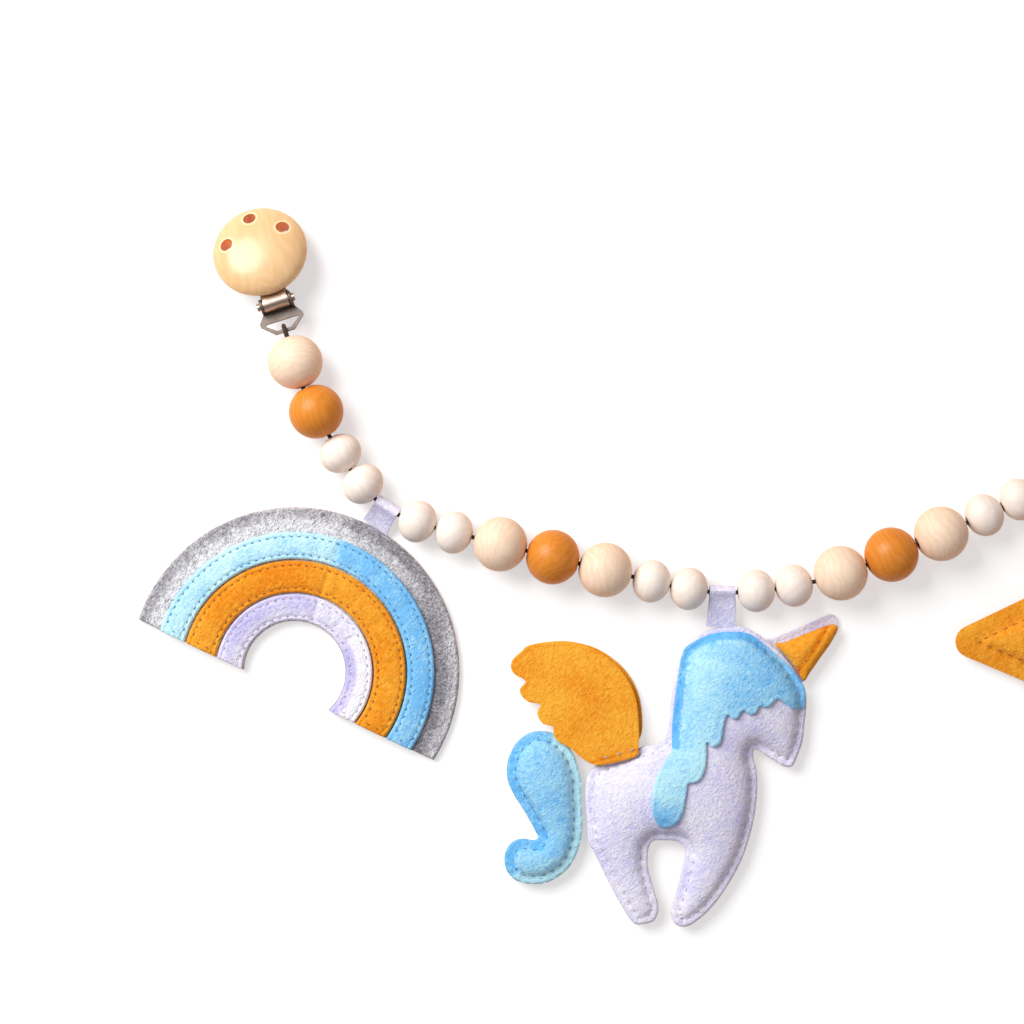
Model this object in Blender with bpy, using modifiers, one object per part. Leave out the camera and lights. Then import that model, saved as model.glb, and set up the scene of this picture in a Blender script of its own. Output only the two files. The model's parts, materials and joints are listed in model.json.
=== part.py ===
"""Pram chain: turned wooden beads on elastic between two toggle clips, with three sewn felt pendants.

Metres, +Z up. The chain lies flat on a table at z = 0, with +X along it and the pendants towards -Y.
Places along the chain are lengths of cord, counted from the middle pendant.
"""
import math

import bmesh
import bpy
import numpy as np
from mathutils import Matrix, Vector

# Fits
CLEARANCE = 0.0003
OVERRUN = 0.002

# Elastic cord
CORD_DIAMETER = 0.0016
CORD_POINT_PITCH = 0.0062
CORD_END_GAP = 0.0002
EYE_TAIL_LENGTH = 0.0075

# Beads
LARGE_DIAMETER = 0.0202
LARGE_LENGTH = 0.0198
LARGE_BORE = 0.0044
SMALL_DIAMETER = 0.0158
SMALL_LENGTH = 0.0140
SMALL_BORE = 0.0036
BEAD_GAP = 0.0001
TAG_GAP = 0.0007
FLEX_GAP = 0.0008
BEAD_STEPS = 16
BEAD_ARC_POINTS = 8

# Felt
FELT_THICKNESS = 0.0012
SEAM_ALLOWANCE = 0.003
DRAPE_PITCH = 0.0065
DRAPE_LIFT = 0.0008

# Tags that hold the pendants
TAG_WIDTH = 0.0095
TAG_FELT = 0.001
TAG_CORD_FIT = 0.0006

# Rainbow
RAINBOW_DROP = 0.009
RAINBOW_INNER_RADIUS = 0.0189
WHITE_BAND = 0.0104
ORANGE_BAND = 0.0124
BLUE_BAND = 0.0106
GREY_BORDER = 0.0089
RAINBOW_FOOT = 0.0074
RAINBOW_LIP = 0.0026
RAINBOW_CROWN = 0.0016
RAINBOW_BASE_HEIGHT = 0.0030
BAND_THICKNESS = 0.0013
BAND_GROOVE = 0.0006
RAINBOW_STEPS = 44
RAINBOW_SWAY = math.radians(4.4)
RAINBOW_LEAN = math.radians(4)

# Unicorn
UNICORN_HEIGHT = 0.1106
UNICORN_DROP = 0.0137
POLL_RISE = 0.0013
UNICORN_SEAM = 0.0045
TORSO_SWELL = 0.0072
NECK_SWELL = 0.0060
LEG_SWELL = 0.0048
TAIL_SWELL = 0.0044
HORN_SWELL = 0.0022
UNDER_SWELL = 0.0032
WING_DROOP = math.radians(6)
WING_ROOT_HEIGHT = 0.0078
BACK_WING_HEIGHT = 0.0014
BACK_WING_SHIFT = 0.0016
HORN_BACK_HEIGHT = 0.0014

# Star
STAR_RADIUS = 0.054
STAR_DROP = 0.0077
STAR_SEAM = 0.0042
STAR_SEAM_INSET = 0.0053
STAR_SWELL = 0.0058
STAR_TIP_ROUND = 0.0035
STAR_LEAN = math.radians(-8.5)
STAR_POINTS = 5
STAR_VALLEY_SHARE = 0.473
STAR_NOSE_SHARE = 0.35

# Clip: the strap bar is the origin, +x towards the disc, +z up through the disc
PLATE = 0.0009
BAR_WIDTH = 0.0012
BAR_LENGTH = 0.0072
FRAME_WIDTH = 0.0165
FRAME_DEPTH = 0.0050
SLOT_DEPTH = 0.0042
SLOT_WIDTH = 0.0130
WAIST_AT = 0.0080
PIN_AT = 0.0103
PIN_DIAMETER = 0.0018
PIN_HEAD_DIAMETER = 0.0030
PIN_HEAD = 0.0009
EAR_SPAN = 0.0119
EAR_RADIUS = 0.0026
TONGUE_END = 0.0365
TONGUE_WIDTH = 0.0094
TONGUE_LIP = 0.0013
TOOTH_COUNT = 4
BARREL_RADIUS = 0.0027
BARREL_SEAT = 0.0004
LEVER_WIDTH = 0.0088
LEVER_LENGTH = 0.0245
LEVER_RAKE = math.radians(6)
KNUCKLE_RADIUS = 0.0008
PAD_LENGTH = 0.0058
PAD_WIDTH = 0.0078
PAD_THICKNESS = 0.0011
PAD_TOOTH = 0.0006
PAD_TEETH = 4
RIVET_AT = 0.0138
RIVET_SHANK = 0.0020
RIVET_HEAD = 0.0044
RIVET_HEAD_THICKNESS = 0.0007
RIVET_REACH = 0.0050
DISC_DIAMETER = 0.0352
DISC_THICKNESS = 0.0098
DISC_RIM = 0.0040
DISC_AT = 0.0191
DISC_STEPS = 28
VENT_DIAMETER = 0.0048
VENT_CIRCLE_RADIUS = 0.0115
VENT_SPREAD = math.radians(70)
VENT_COUNT = 3
BAR_TO_BEAD = 0.0024
ROUND_STEPS = 16

# The cord's route on the table, left to right; the middle pendant hangs from MIDDLE_POINT
CORD_ROUTE = [
    (-0.1618, 0.1000), (-0.1576, 0.0825), (-0.1489, 0.0645), (-0.1400, 0.0495), (-0.1316, 0.0378),
    (-0.1218, 0.0300), (-0.1116, 0.0254), (-0.0972, 0.0216), (-0.0806, 0.0174), (-0.0613, 0.0126),
    (-0.0420, 0.0080), (-0.0260, 0.0039), (-0.0122, 0.0009), (0.0, 0.0), (0.0122, 0.0003),
    (0.0260, 0.0022), (0.0422, 0.0063), (0.0610, 0.0133), (0.0793, 0.0212), (0.0948, 0.0276),
    (0.1076, 0.0332), (0.1182, 0.0384), (0.1288, 0.0444), (0.1402, 0.0530), (0.1524, 0.0652),
    (0.1640, 0.0816), (0.1690, 0.0930), (0.1730, 0.1080),
]
MIDDLE_POINT = 13
ROUTE_SAMPLES = 24

# What is strung on each half, from the middle pendant outwards
HALF_ORDER = ["small", "small", "large", "orange", "large", "small", "small", "tag",
              "small", "small", "orange", "large"]
FLEX_BEFORE = [2, 5, 10]

# Outlines: x from the tag and y below the top of the head, as shares of the unicorn's height
TORSO_SHARES = [
    ((-0.458, 0.502), (-0.445, 0.659)), ((-0.415, 0.465), (-0.401, 0.699)),
    ((-0.334, 0.438), (-0.324, 0.712)), ((-0.241, 0.398), (-0.234, 0.709)),
    ((-0.140, 0.398), (-0.140, 0.712)), ((-0.047, 0.445), (-0.054, 0.726)),
    ((0.033, 0.512), (0.020, 0.726)), ((0.087, 0.572), (0.074, 0.692)),
]
NECK_SHARES = [
    ((-0.100, 0.592), (0.097, 0.612)), ((-0.151, 0.465), (0.110, 0.505)),
    ((-0.164, 0.355), (0.110, 0.411)), ((-0.161, 0.237), (0.124, 0.398)),
    ((-0.134, 0.104), (0.144, 0.408)), ((-0.060, 0.012), (0.164, 0.425)),
    ((0.067, -0.010), (0.184, 0.438)), ((0.167, 0.047), (0.207, 0.452)),
    ((0.237, 0.117), (0.237, 0.455)), ((0.288, 0.204), (0.268, 0.411)),
    ((0.291, 0.258), (0.281, 0.365)),
]
FRONT_LEG_SHARES = [
    ((-0.113, 0.716), (0.083, 0.712)), ((-0.120, 0.752), (0.074, 0.768)),
    ((-0.130, 0.806), (0.043, 0.823)), ((-0.147, 0.883), (-0.017, 0.916)),
    ((-0.164, 0.940), (-0.077, 0.970)), ((-0.157, 0.980), (-0.110, 1.000)),
]
REAR_LEG_SHARES = [
    ((-0.452, 0.672), (-0.250, 0.712)), ((-0.446, 0.722), (-0.250, 0.745)),
    ((-0.418, 0.773), (-0.247, 0.793)), ((-0.371, 0.860), (-0.227, 0.863)),
    ((-0.324, 0.933), (-0.207, 0.923)), ((-0.288, 0.980), (-0.221, 0.967)),
]
TAIL_SHARES = [
    ((-0.649, 0.351), (-0.555, 0.355)), ((-0.702, 0.421), (-0.495, 0.421)),
    ((-0.706, 0.505), (-0.465, 0.505)), ((-0.669, 0.592), (-0.460, 0.599)),
    ((-0.625, 0.666), (-0.464, 0.682)), ((-0.609, 0.712), (-0.502, 0.786)),
    ((-0.632, 0.702), (-0.582, 0.843)), ((-0.676, 0.696), (-0.672, 0.839)),
    ((-0.716, 0.732), (-0.719, 0.793)),
]
HORN_SHARES = [
    ((0.147, 0.050), (0.261, 0.197)), ((0.211, 0.043), (0.301, 0.140)),
    ((0.271, 0.017), (0.334, 0.090)), ((0.328, -0.007), (0.368, 0.040)),
    ((0.375, -0.023), (0.391, -0.003)),
]
MANE_SHARES = [
    (-0.144, 0.401), (-0.154, 0.301), (-0.140, 0.167), (-0.124, 0.097), (-0.090, 0.047),
    (-0.033, 0.017), (0.037, 0.003), (0.100, 0.017), (0.164, 0.060), (0.221, 0.120),
    (0.264, 0.187), (0.278, 0.227), (0.264, 0.258), (0.237, 0.261), (0.211, 0.247),
    (0.177, 0.264), (0.140, 0.241), (0.104, 0.278), (0.054, 0.291), (0.017, 0.284),
    (0.013, 0.341), (0.000, 0.388), (-0.027, 0.388), (-0.050, 0.375), (-0.050, 0.468),
    (-0.064, 0.508), (-0.104, 0.518), (-0.120, 0.619), (-0.164, 0.669), (-0.211, 0.632),
    (-0.221, 0.545), (-0.187, 0.468),
]
WING_SHARES = [
    (-0.271, 0.385), (-0.268, 0.311), (-0.284, 0.214), (-0.334, 0.127), (-0.421, 0.064),
    (-0.515, 0.040), (-0.585, 0.043), (-0.645, 0.057), (-0.666, 0.084), (-0.696, 0.110),
    (-0.689, 0.151), (-0.649, 0.177), (-0.666, 0.214), (-0.642, 0.247), (-0.599, 0.258),
    (-0.605, 0.301), (-0.585, 0.328), (-0.555, 0.334), (-0.538, 0.378), (-0.492, 0.408),
    (-0.421, 0.455), (-0.388, 0.468), (-0.278, 0.441),
]
HORN_BACK_SHARES = [
    (0.147, 0.057), (0.361, -0.054), (0.388, -0.040), (0.395, -0.010), (0.271, 0.191),
]
FORM_PROFILE_SHARES = [-1.0, -0.72, -0.3, 0.3, 0.72, 1.0]
FORM_STATIONS = 2

# Finishes: base colour, roughness, metallic
FINISHES = {
    "natural_wood": ((0.86, 0.63, 0.40), 0.45, 0.0),
    "pale_wood": ((0.88, 0.77, 0.66), 0.50, 0.0),
    "orange_lacquer": ((0.69, 0.23, 0.02), 0.35, 0.0),
    "disc_wood": ((0.93, 0.67, 0.38), 0.25, 0.0),
    "elastic": ((0.10, 0.05, 0.03), 0.70, 0.0),
    "nickel": ((0.75, 0.72, 0.70), 0.22, 1.0),
    "grip_plastic": ((0.85, 0.85, 0.83), 0.40, 0.0),
    "white_felt": ((0.78, 0.75, 0.93), 0.95, 0.0),
    "blue_felt": ((0.24, 0.62, 0.90), 0.95, 0.0),
    "orange_felt": ((0.86, 0.32, 0.02), 0.95, 0.0),
    "grey_felt": ((0.42, 0.40, 0.43), 0.95, 0.0),
}


class Kit:
    """The collections and materials that every piece uses."""

    def __init__(self):
        for old in list(bpy.data.objects):
            bpy.data.objects.remove(old, do_unlink=True)
        self.parts = bpy.data.collections.new("pram_bead_chain")
        self.cutters = bpy.data.collections.new("cutters")
        for group in (self.parts, self.cutters):
            bpy.context.scene.collection.children.link(group)
        self.materials = {}

    def material(self, name):
        if name not in self.materials:
            colour, roughness, metallic = FINISHES[name]
            made = bpy.data.materials.new(name)
            made.use_nodes = True
            shader = made.node_tree.nodes["Principled BSDF"]
            shader.inputs["Base Color"].default_value = (*colour, 1.0)
            shader.inputs["Roughness"].default_value = roughness
            shader.inputs["Metallic"].default_value = metallic
            self.materials[name] = made
        return self.materials[name]

    def piece(self, name, mesh, finish, parent, location=(0, 0, 0), rotation=(0, 0, 0), smooth=0.7):
        """A part from a mesh, shaded smooth up to an edge angle."""
        if not mesh.materials:
            mesh.materials.append(self.material(finish))
        mesh.shade_smooth()
        mesh.set_sharp_from_angle(angle=smooth)
        made = bpy.data.objects.new(name, mesh)
        self.parts.objects.link(made)
        made.parent = parent
        made.location = location
        made.rotation_euler = rotation
        return made

    def cutter(self, name, mesh, parent, location=(0, 0, 0), rotation=(0, 0, 0)):
        made = bpy.data.objects.new(name, mesh)
        self.cutters.objects.link(made)
        made.parent = parent
        made.location = location
        made.rotation_euler = rotation
        made.hide_render = True
        made.display_type = "WIRE"
        return made

    def frame(self, name, parent, location=(0, 0, 0), rotation=(0, 0, 0)):
        """An empty that carries pieces; a joint's axis passes through it."""
        made = bpy.data.objects.new(name, None)
        made.empty_display_size = TAG_WIDTH
        self.parts.objects.link(made)
        made.parent = parent
        made.location = location
        made.rotation_euler = rotation
        return made


def boolean(piece, cutter, operation="DIFFERENCE"):
    step = piece.modifiers.new(f"{operation.lower()}_{cutter.name}", "BOOLEAN")
    step.operation = operation
    step.object = cutter
    return step


def mesh_from(points, faces, name):
    mesh = bpy.data.meshes.new(name)
    mesh.from_pydata([tuple(p) for p in points], [], [tuple(f) for f in faces])
    shape = bmesh.new()
    shape.from_mesh(mesh)
    bmesh.ops.recalc_face_normals(shape, faces=shape.faces)
    shape.to_mesh(mesh)
    shape.free()
    return mesh


def cylinder_mesh(name, radius, low, high, axis="Z", steps=ROUND_STEPS):
    """A round bar along an axis, from low to high on that axis."""
    shape = bmesh.new()
    bmesh.ops.create_cone(shape, cap_ends=True, segments=steps, radius1=radius, radius2=radius,
                          depth=high - low)
    bmesh.ops.translate(shape, vec=(0, 0, (low + high) / 2), verts=shape.verts)
    if axis == "Y":
        bmesh.ops.rotate(shape, cent=(0, 0, 0), verts=shape.verts,
                         matrix=Matrix.Rotation(-math.pi / 2, 3, "X"))
    mesh = bpy.data.meshes.new(name)
    shape.to_mesh(mesh)
    shape.free()
    return mesh


def box_mesh(name, low, high):
    shape = bmesh.new()
    bmesh.ops.create_cube(shape, size=1)
    middle = (Vector(low) + Vector(high)) / 2
    bmesh.ops.scale(shape, vec=Vector(high) - Vector(low), verts=shape.verts)
    bmesh.ops.translate(shape, vec=middle, verts=shape.verts)
    mesh = bpy.data.meshes.new(name)
    shape.to_mesh(mesh)
    shape.free()
    return mesh


def flat_mesh(name, outlines, thickness, upright=False):
    """A flat outline, with any further outlines as holes, centred on its plane; upright puts it in XZ."""
    curve = bpy.data.curves.new(name, "CURVE")
    curve.dimensions = "2D"
    curve.fill_mode = "BOTH"
    curve.extrude = thickness / 2
    for outline in outlines:
        spline = curve.splines.new("POLY")
        spline.points.add(len(outline) - 1)
        for point, (x, y) in zip(spline.points, outline):
            point.co = (x, y, 0, 1)
        spline.use_cyclic_u = True
    holder = bpy.data.objects.new(name, curve)
    bpy.context.scene.collection.objects.link(holder)
    bpy.context.view_layer.update()
    graph = bpy.context.evaluated_depsgraph_get()
    mesh = bpy.data.meshes.new_from_object(holder.evaluated_get(graph))
    bpy.data.objects.remove(holder)
    bpy.data.curves.remove(curve)
    shape = bmesh.new()
    shape.from_mesh(mesh)
    bmesh.ops.remove_doubles(shape, verts=shape.verts, dist=CLEARANCE / 30)
    if upright:
        bmesh.ops.rotate(shape, cent=(0, 0, 0), verts=shape.verts,
                         matrix=Matrix.Rotation(math.pi / 2, 3, "X"))
    bmesh.ops.recalc_face_normals(shape, faces=shape.faces)
    shape.to_mesh(mesh)
    shape.free()
    mesh.materials.clear()
    return mesh


def mirrored(half):
    """A closed outline from its half at +y, mirrored in y."""
    return half + [(x, -y) for x, y in reversed(half)]


def turn(piece, steps):
    """Turn a profile in the XZ plane about Z."""
    screw = piece.modifiers.new("turn", "SCREW")
    screw.axis = "Z"
    screw.steps = steps
    screw.render_steps = steps
    screw.use_merge_vertices = True
    screw.merge_threshold = CLEARANCE / 10
    screw.use_smooth_shade = True
    return screw


def profile_mesh(name, points):
    """A closed profile of (radius, height) points, outer side first and downwards."""
    count = len(points)
    mesh = bpy.data.meshes.new(name)
    mesh.from_pydata([(r, 0, z) for r, z in points], [(i, (i + 1) % count) for i in range(count)], [])
    return mesh


class Cord:
    """The route of the elastic as a smooth curve, with places given by length of cord."""

    def __init__(self):
        knots = np.array(CORD_ROUTE)
        padded = np.vstack([2 * knots[0] - knots[1], knots, 2 * knots[-1] - knots[-2]])
        t = np.linspace(0, 1, ROUTE_SAMPLES, endpoint=False)[:, None]
        runs = []
        for i in range(len(knots) - 1):
            a, b, c, d = padded[i:i + 4]
            runs.append(((2 * b) + (c - a) * t + (2 * a - 5 * b + 4 * c - d) * t**2
                         + (3 * b - a - 3 * c + d) * t**3) / 2)
        self.xy = np.vstack(runs + [knots[-1:]])
        steps = np.linalg.norm(np.diff(self.xy, axis=0), axis=1)
        self.length = np.concatenate([[0], np.cumsum(steps)])
        self.length -= self.length[MIDDLE_POINT * ROUTE_SAMPLES]
        self.knots = []

    def set_heights(self, items):
        """The cord's height follows the beads that it runs through, which lie on the table."""
        self.knots = [(item["at"], item["radius"]) for item in items]

    def height(self, s):
        places = [k[0] for k in self.knots]
        i = int(np.clip(np.searchsorted(places, s) - 1, 0, len(places) - 2))
        (s0, z0), (s1, z1) = self.knots[i], self.knots[i + 1]
        share = min(max((s - s0) / (s1 - s0) * 2 - 0.5, 0), 1)
        return z0 + (z1 - z0) * share * share * (3 - 2 * share)

    def point(self, s):
        """A place on the cord. Past the route's ends, it runs on straight."""
        x = float(np.interp(s, self.length, self.xy[:, 0]))
        y = float(np.interp(s, self.length, self.xy[:, 1]))
        past = s - min(max(s, self.length[0]), self.length[-1])
        if past:
            ahead = self.xy[-1] - self.xy[-2] if past > 0 else self.xy[1] - self.xy[0]
            ahead = ahead / np.linalg.norm(ahead) * past
            x, y = x + float(ahead[0]), y + float(ahead[1])
        return Vector((x, y, self.height(s)))

    def heading(self, s):
        ahead = self.point(s + CORD_DIAMETER) - self.point(s - CORD_DIAMETER)
        return math.atan2(ahead.y, ahead.x)


def string_items():
    """The beads, tags and strap bars of the whole chain, left to right, with their places on the cord."""
    sizes = {
        "small": (SMALL_LENGTH, SMALL_DIAMETER / 2), "large": (LARGE_LENGTH, LARGE_DIAMETER / 2),
        "orange": (LARGE_LENGTH, LARGE_DIAMETER / 2), "tag": (TAG_WIDTH, SMALL_DIAMETER / 2),
    }
    half, at, last = [], TAG_WIDTH / 2, "tag"
    for i, kind in enumerate(HALF_ORDER):
        length, radius = sizes[kind]
        gap = FLEX_GAP if i in FLEX_BEFORE else TAG_GAP if "tag" in (kind, last) else BEAD_GAP
        at += gap + length / 2
        half.append({"kind": kind, "at": at, "length": length, "radius": radius})
        at += length / 2
        last = kind
    half.append({"kind": "bar", "at": at + BAR_TO_BEAD, "length": 0, "radius": LARGE_DIAMETER / 2})
    middle = {"kind": "tag", "at": 0, "length": TAG_WIDTH, "radius": SMALL_DIAMETER / 2}
    left = [dict(item, at=-item["at"]) for item in reversed(half)]
    return left + [middle] + half


def flex_places():
    """Where the cord bends: the gaps between beads named by FLEX_BEFORE, on both sides of the middle."""
    items = [item for item in string_items() if item["at"] > 0]
    right = [items[i]["at"] - items[i]["length"] / 2 - FLEX_GAP / 2 for i in FLEX_BEFORE]
    return [-s for s in reversed(right)] + right


def bead_mesh(name, length, diameter, bore):
    """Half profile of a turned bead: a flattened ball with a straight bore."""
    start = math.asin(bore / diameter)
    angles = np.linspace(start, math.pi - start, BEAD_ARC_POINTS)
    points = [(diameter / 2 * math.sin(a), length / 2 * math.cos(a)) for a in angles]
    return profile_mesh(name, points)


def add_beads(kit, cord, items, root):
    shapes = {
        "large": (bead_mesh("large_bead", LARGE_LENGTH, LARGE_DIAMETER, LARGE_BORE), "natural_wood"),
        "orange": (bead_mesh("orange_bead", LARGE_LENGTH, LARGE_DIAMETER, LARGE_BORE), "orange_lacquer"),
        "small": (bead_mesh("small_bead", SMALL_LENGTH, SMALL_DIAMETER, SMALL_BORE), "pale_wood"),
    }
    count = 0
    for item in items:
        if item["kind"] not in shapes:
            continue
        count += 1
        mesh, finish = shapes[item["kind"]]
        near = cord.point(item["at"] - item["length"] / 2)
        far = cord.point(item["at"] + item["length"] / 2)
        place = (near + far) / 2
        place.z = item["radius"]
        bead = kit.piece(f"bead_{count:02d}_{item['kind']}", mesh, finish, root, place, smooth=math.pi)
        bead.rotation_euler = (far - near).to_track_quat("Z", "Y").to_euler()
        turn(bead, BEAD_STEPS)


def round_tip(distance):
    """A cord's radius, as a share, at a distance from its rounded end."""
    share = min(distance / (CORD_DIAMETER / 2), 1)
    return math.sqrt(max(1 - (1 - share) ** 2, 0))


def strap_bar(cord, items, side):
    """The place of a clip's strap bar and the way outwards, in line with the last bead."""
    bead = items[-2] if side > 0 else items[1]
    low = cord.point(bead["at"] - bead["length"] / 2)
    high = cord.point(bead["at"] + bead["length"] / 2)
    out = (high - low).normalized() * side
    out.z = 0
    place = (low + high) / 2 + out * (bead["length"] / 2 + BAR_TO_BEAD)
    place.z = bead["radius"]
    return place, out


def eye_path(cord, items, side):
    """The cord's way round the strap bar and back into the last bead's bore, from that bead's far side."""
    bar, out = strap_bar(cord, items, side)
    loop = math.hypot(BAR_WIDTH, PLATE) / 2 + CLEARANCE + CORD_DIAMETER / 2
    strand = CORD_DIAMETER / 2 + CLEARANCE / 2
    mouth = BAR_TO_BEAD + LARGE_LENGTH / 2 - math.sqrt(1 - (LARGE_BORE / LARGE_DIAMETER) ** 2) \
        * LARGE_LENGTH / 2
    places = [(-mouth - EYE_TAIL_LENGTH, strand), (-mouth, strand * 1.1)]
    for angle in (130, 105, 75, 45, 15, -15, -45, -75, -105, -130):
        a = math.radians(angle)
        places.append((loop * math.cos(a), loop * math.sin(a)))
    places += [(-mouth, -strand * 1.1), (-mouth - EYE_TAIL_LENGTH, -strand)]
    return [bar + out * a + Vector((0, 0, h)) for a, h in places]


def cord_mesh(kit, name, points, radii, root):
    curve = bpy.data.curves.new(name, "CURVE")
    curve.dimensions = "3D"
    curve.bevel_depth = CORD_DIAMETER / 2
    curve.bevel_resolution = 2
    curve.use_fill_caps = True
    spline = curve.splines.new("POLY")
    spline.points.add(len(points) - 1)
    for point, place, radius in zip(spline.points, points, radii):
        point.co = (*place, 1)
        point.radius = radius
    curve.materials.append(kit.material("elastic"))
    made = bpy.data.objects.new(name, curve)
    kit.parts.objects.link(made)
    made.parent = root
    return made


def add_cord(kit, cord, items, root):
    """The elastic in one line from bar to bar, divided where the chain bends."""
    bars = [item["at"] for item in items if item["kind"] == "bar"]
    ends = [bars[0]] + flex_places() + [bars[1]]
    last_bead = BAR_TO_BEAD + LARGE_LENGTH
    tip = [CORD_DIAMETER / 2 * share for share in (0.06, 0.35, 1.0)]
    for i, (low, high) in enumerate(zip(ends, ends[1:])):
        start = low + (last_bead if i == 0 else CORD_END_GAP)
        stop = high - (last_bead if i == len(ends) - 2 else CORD_END_GAP)
        inner_low = start + (tip[-1] if i else 0)
        inner_high = stop - (tip[-1] if i < len(ends) - 2 else 0)
        count = max(2, round((inner_high - inner_low) / CORD_POINT_PITCH) + 1)
        places = list(np.linspace(inner_low, inner_high, count))
        if i:
            places = [start + t for t in tip[:2]] + places
        if i < len(ends) - 2:
            places += [stop - t for t in reversed(tip[:2])]
        points = [cord.point(s) for s in places]
        radii = [1.0] * len(points)
        if i:
            radii[:2] = [round_tip(t) for t in tip[:2]]
        if i < len(ends) - 2:
            radii[-2:] = [round_tip(t) for t in reversed(tip[:2])]
        if i == 0:
            eye = eye_path(cord, items, -1)
            points = eye[::-1] + points
            radii = [1.0] * len(eye) + radii
        if i == len(ends) - 2:
            eye = eye_path(cord, items, 1)
            points += eye
            radii += [1.0] * len(eye)
        cord_mesh(kit, f"elastic_{i + 1}", points, radii, root)


def tag_mesh(name, drop, fall):
    """A felt strip folded round the cord: a ring that runs down into two plies sewn together."""
    inner = CORD_DIAMETER / 2 + TAG_CORD_FIT
    outer = inner + TAG_FELT
    slope = math.atan2(-fall, drop)
    ring = [(outer * math.cos(slope + a), outer * math.sin(slope + a))
            for a in np.radians(np.arange(75, 286, 21))]
    ply = TAG_FELT / math.cos(slope)
    legs = [(drop, -fall - ply), (drop, -fall + ply)]
    hole = [(inner * math.cos(a), inner * math.sin(a)) for a in np.radians(np.arange(0, 360, 36))]
    mesh = flat_mesh(name, [ring + legs, hole], TAG_WIDTH, upright=True)
    shape = bmesh.new()
    shape.from_mesh(mesh)
    bmesh.ops.rotate(shape, cent=(0, 0, 0), verts=shape.verts,
                     matrix=Matrix.Rotation(-math.pi / 2, 3, "Z"))
    shape.to_mesh(mesh)
    shape.free()
    return mesh


def hang(kit, cord, root, name, at, lean, drop, seam):
    """A pendant's swing axis on the cord, its felt tag, and the frame on the table that its pieces use."""
    place = cord.point(at)
    axis = kit.frame(f"{name}_axis", root, place, (0, 0, cord.heading(at)))
    mesh = tag_mesh(f"{name}_tag", drop * math.cos(lean) - CLEARANCE, place.z - seam)
    kit.piece(f"{name}_tag", mesh, "white_felt", axis)
    return kit.frame(f"{name}_table", axis, (0, 0, -place.z), (0, 0, lean))


def add_rainbow(kit, cord, items, root):
    at = next(item["at"] for item in items if item["kind"] == "tag")
    seam = RAINBOW_BASE_HEIGHT / 2 + CLEARANCE
    table = hang(kit, cord, root, "rainbow", at, RAINBOW_SWAY, RAINBOW_DROP, seam)
    inner = RAINBOW_INNER_RADIUS
    outer = inner + WHITE_BAND + ORANGE_BAND + BLUE_BAND + GREY_BORDER
    centre = (0, -RAINBOW_DROP - outer, 0)
    turned = (0, 0, RAINBOW_LEAN)

    def crown(radius):
        """Height of the padded base's upper face at a radius."""
        share = (radius - inner) / (outer - inner) * 2 - 1
        return RAINBOW_BASE_HEIGHT + RAINBOW_CROWN * max(1 - share * share, 0)

    radii = np.linspace(outer - RAINBOW_LIP, inner + RAINBOW_LIP, 6)
    corner = FELT_THICKNESS / 2
    base = [(outer, corner), (outer - corner, CLEARANCE), (inner + corner, CLEARANCE), (inner, corner),
            (inner, RAINBOW_BASE_HEIGHT - corner)]
    base += [(r, crown(r)) for r in radii[::-1]]
    base += [(outer, RAINBOW_BASE_HEIGHT - corner)]
    below = kit.cutter("rainbow_foot_cut", box_mesh(
        "rainbow_foot_cut", (-outer - OVERRUN, -outer - OVERRUN, -OVERRUN),
        (outer + OVERRUN, -RAINBOW_FOOT, UNICORN_HEIGHT)), table, centre, turned)
    profiles = {"rainbow_base": (base, "grey_felt")}
    low = inner
    for name, width, finish in (("white", WHITE_BAND, "white_felt"), ("orange", ORANGE_BAND, "orange_felt"),
                                ("blue", BLUE_BAND, "blue_felt")):
        r0, r1 = low + BAND_GROOVE / 2, low + width - BAND_GROOVE / 2
        under = [(r, crown(r) + CLEARANCE) for r in np.linspace(r1, r0, 4)]
        edge = BAND_THICKNESS * 0.6
        over = [(r, crown(r) + CLEARANCE + t) for r, t in
                ((r0, edge), (r0 + edge, BAND_THICKNESS), ((r0 + r1) / 2, BAND_THICKNESS + CLEARANCE),
                 (r1 - edge, BAND_THICKNESS), (r1, edge))]
        profiles[f"rainbow_{name}_band"] = (under + over, finish)
        low += width
    for name, (points, finish) in profiles.items():
        piece = kit.piece(name, profile_mesh(name, points), finish, table, centre, turned)
        turn(piece, RAINBOW_STEPS)
        boolean(piece, below)


def stations_of(shares):
    """Edge pairs in metres from an outline's shares, with smooth stations added between them."""
    ends = np.array(shares) * UNICORN_HEIGHT
    ends[:, :, 1] = -UNICORN_DROP - ends[:, :, 1]
    padded = np.concatenate([2 * ends[:1] - ends[1:2], ends, 2 * ends[-1:] - ends[-2:-1]])
    made = []
    for i in range(len(ends) - 1):
        a, b, c, d = padded[i:i + 4]
        for t in np.linspace(0, 1, FORM_STATIONS, endpoint=False):
            made.append(((2 * b) + (c - a) * t + (2 * a - 5 * b + 4 * c - d) * t**2
                         + (3 * b - a - 3 * c + d) * t**3) / 2)
    return np.array(made + [ends[-1]])


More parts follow.
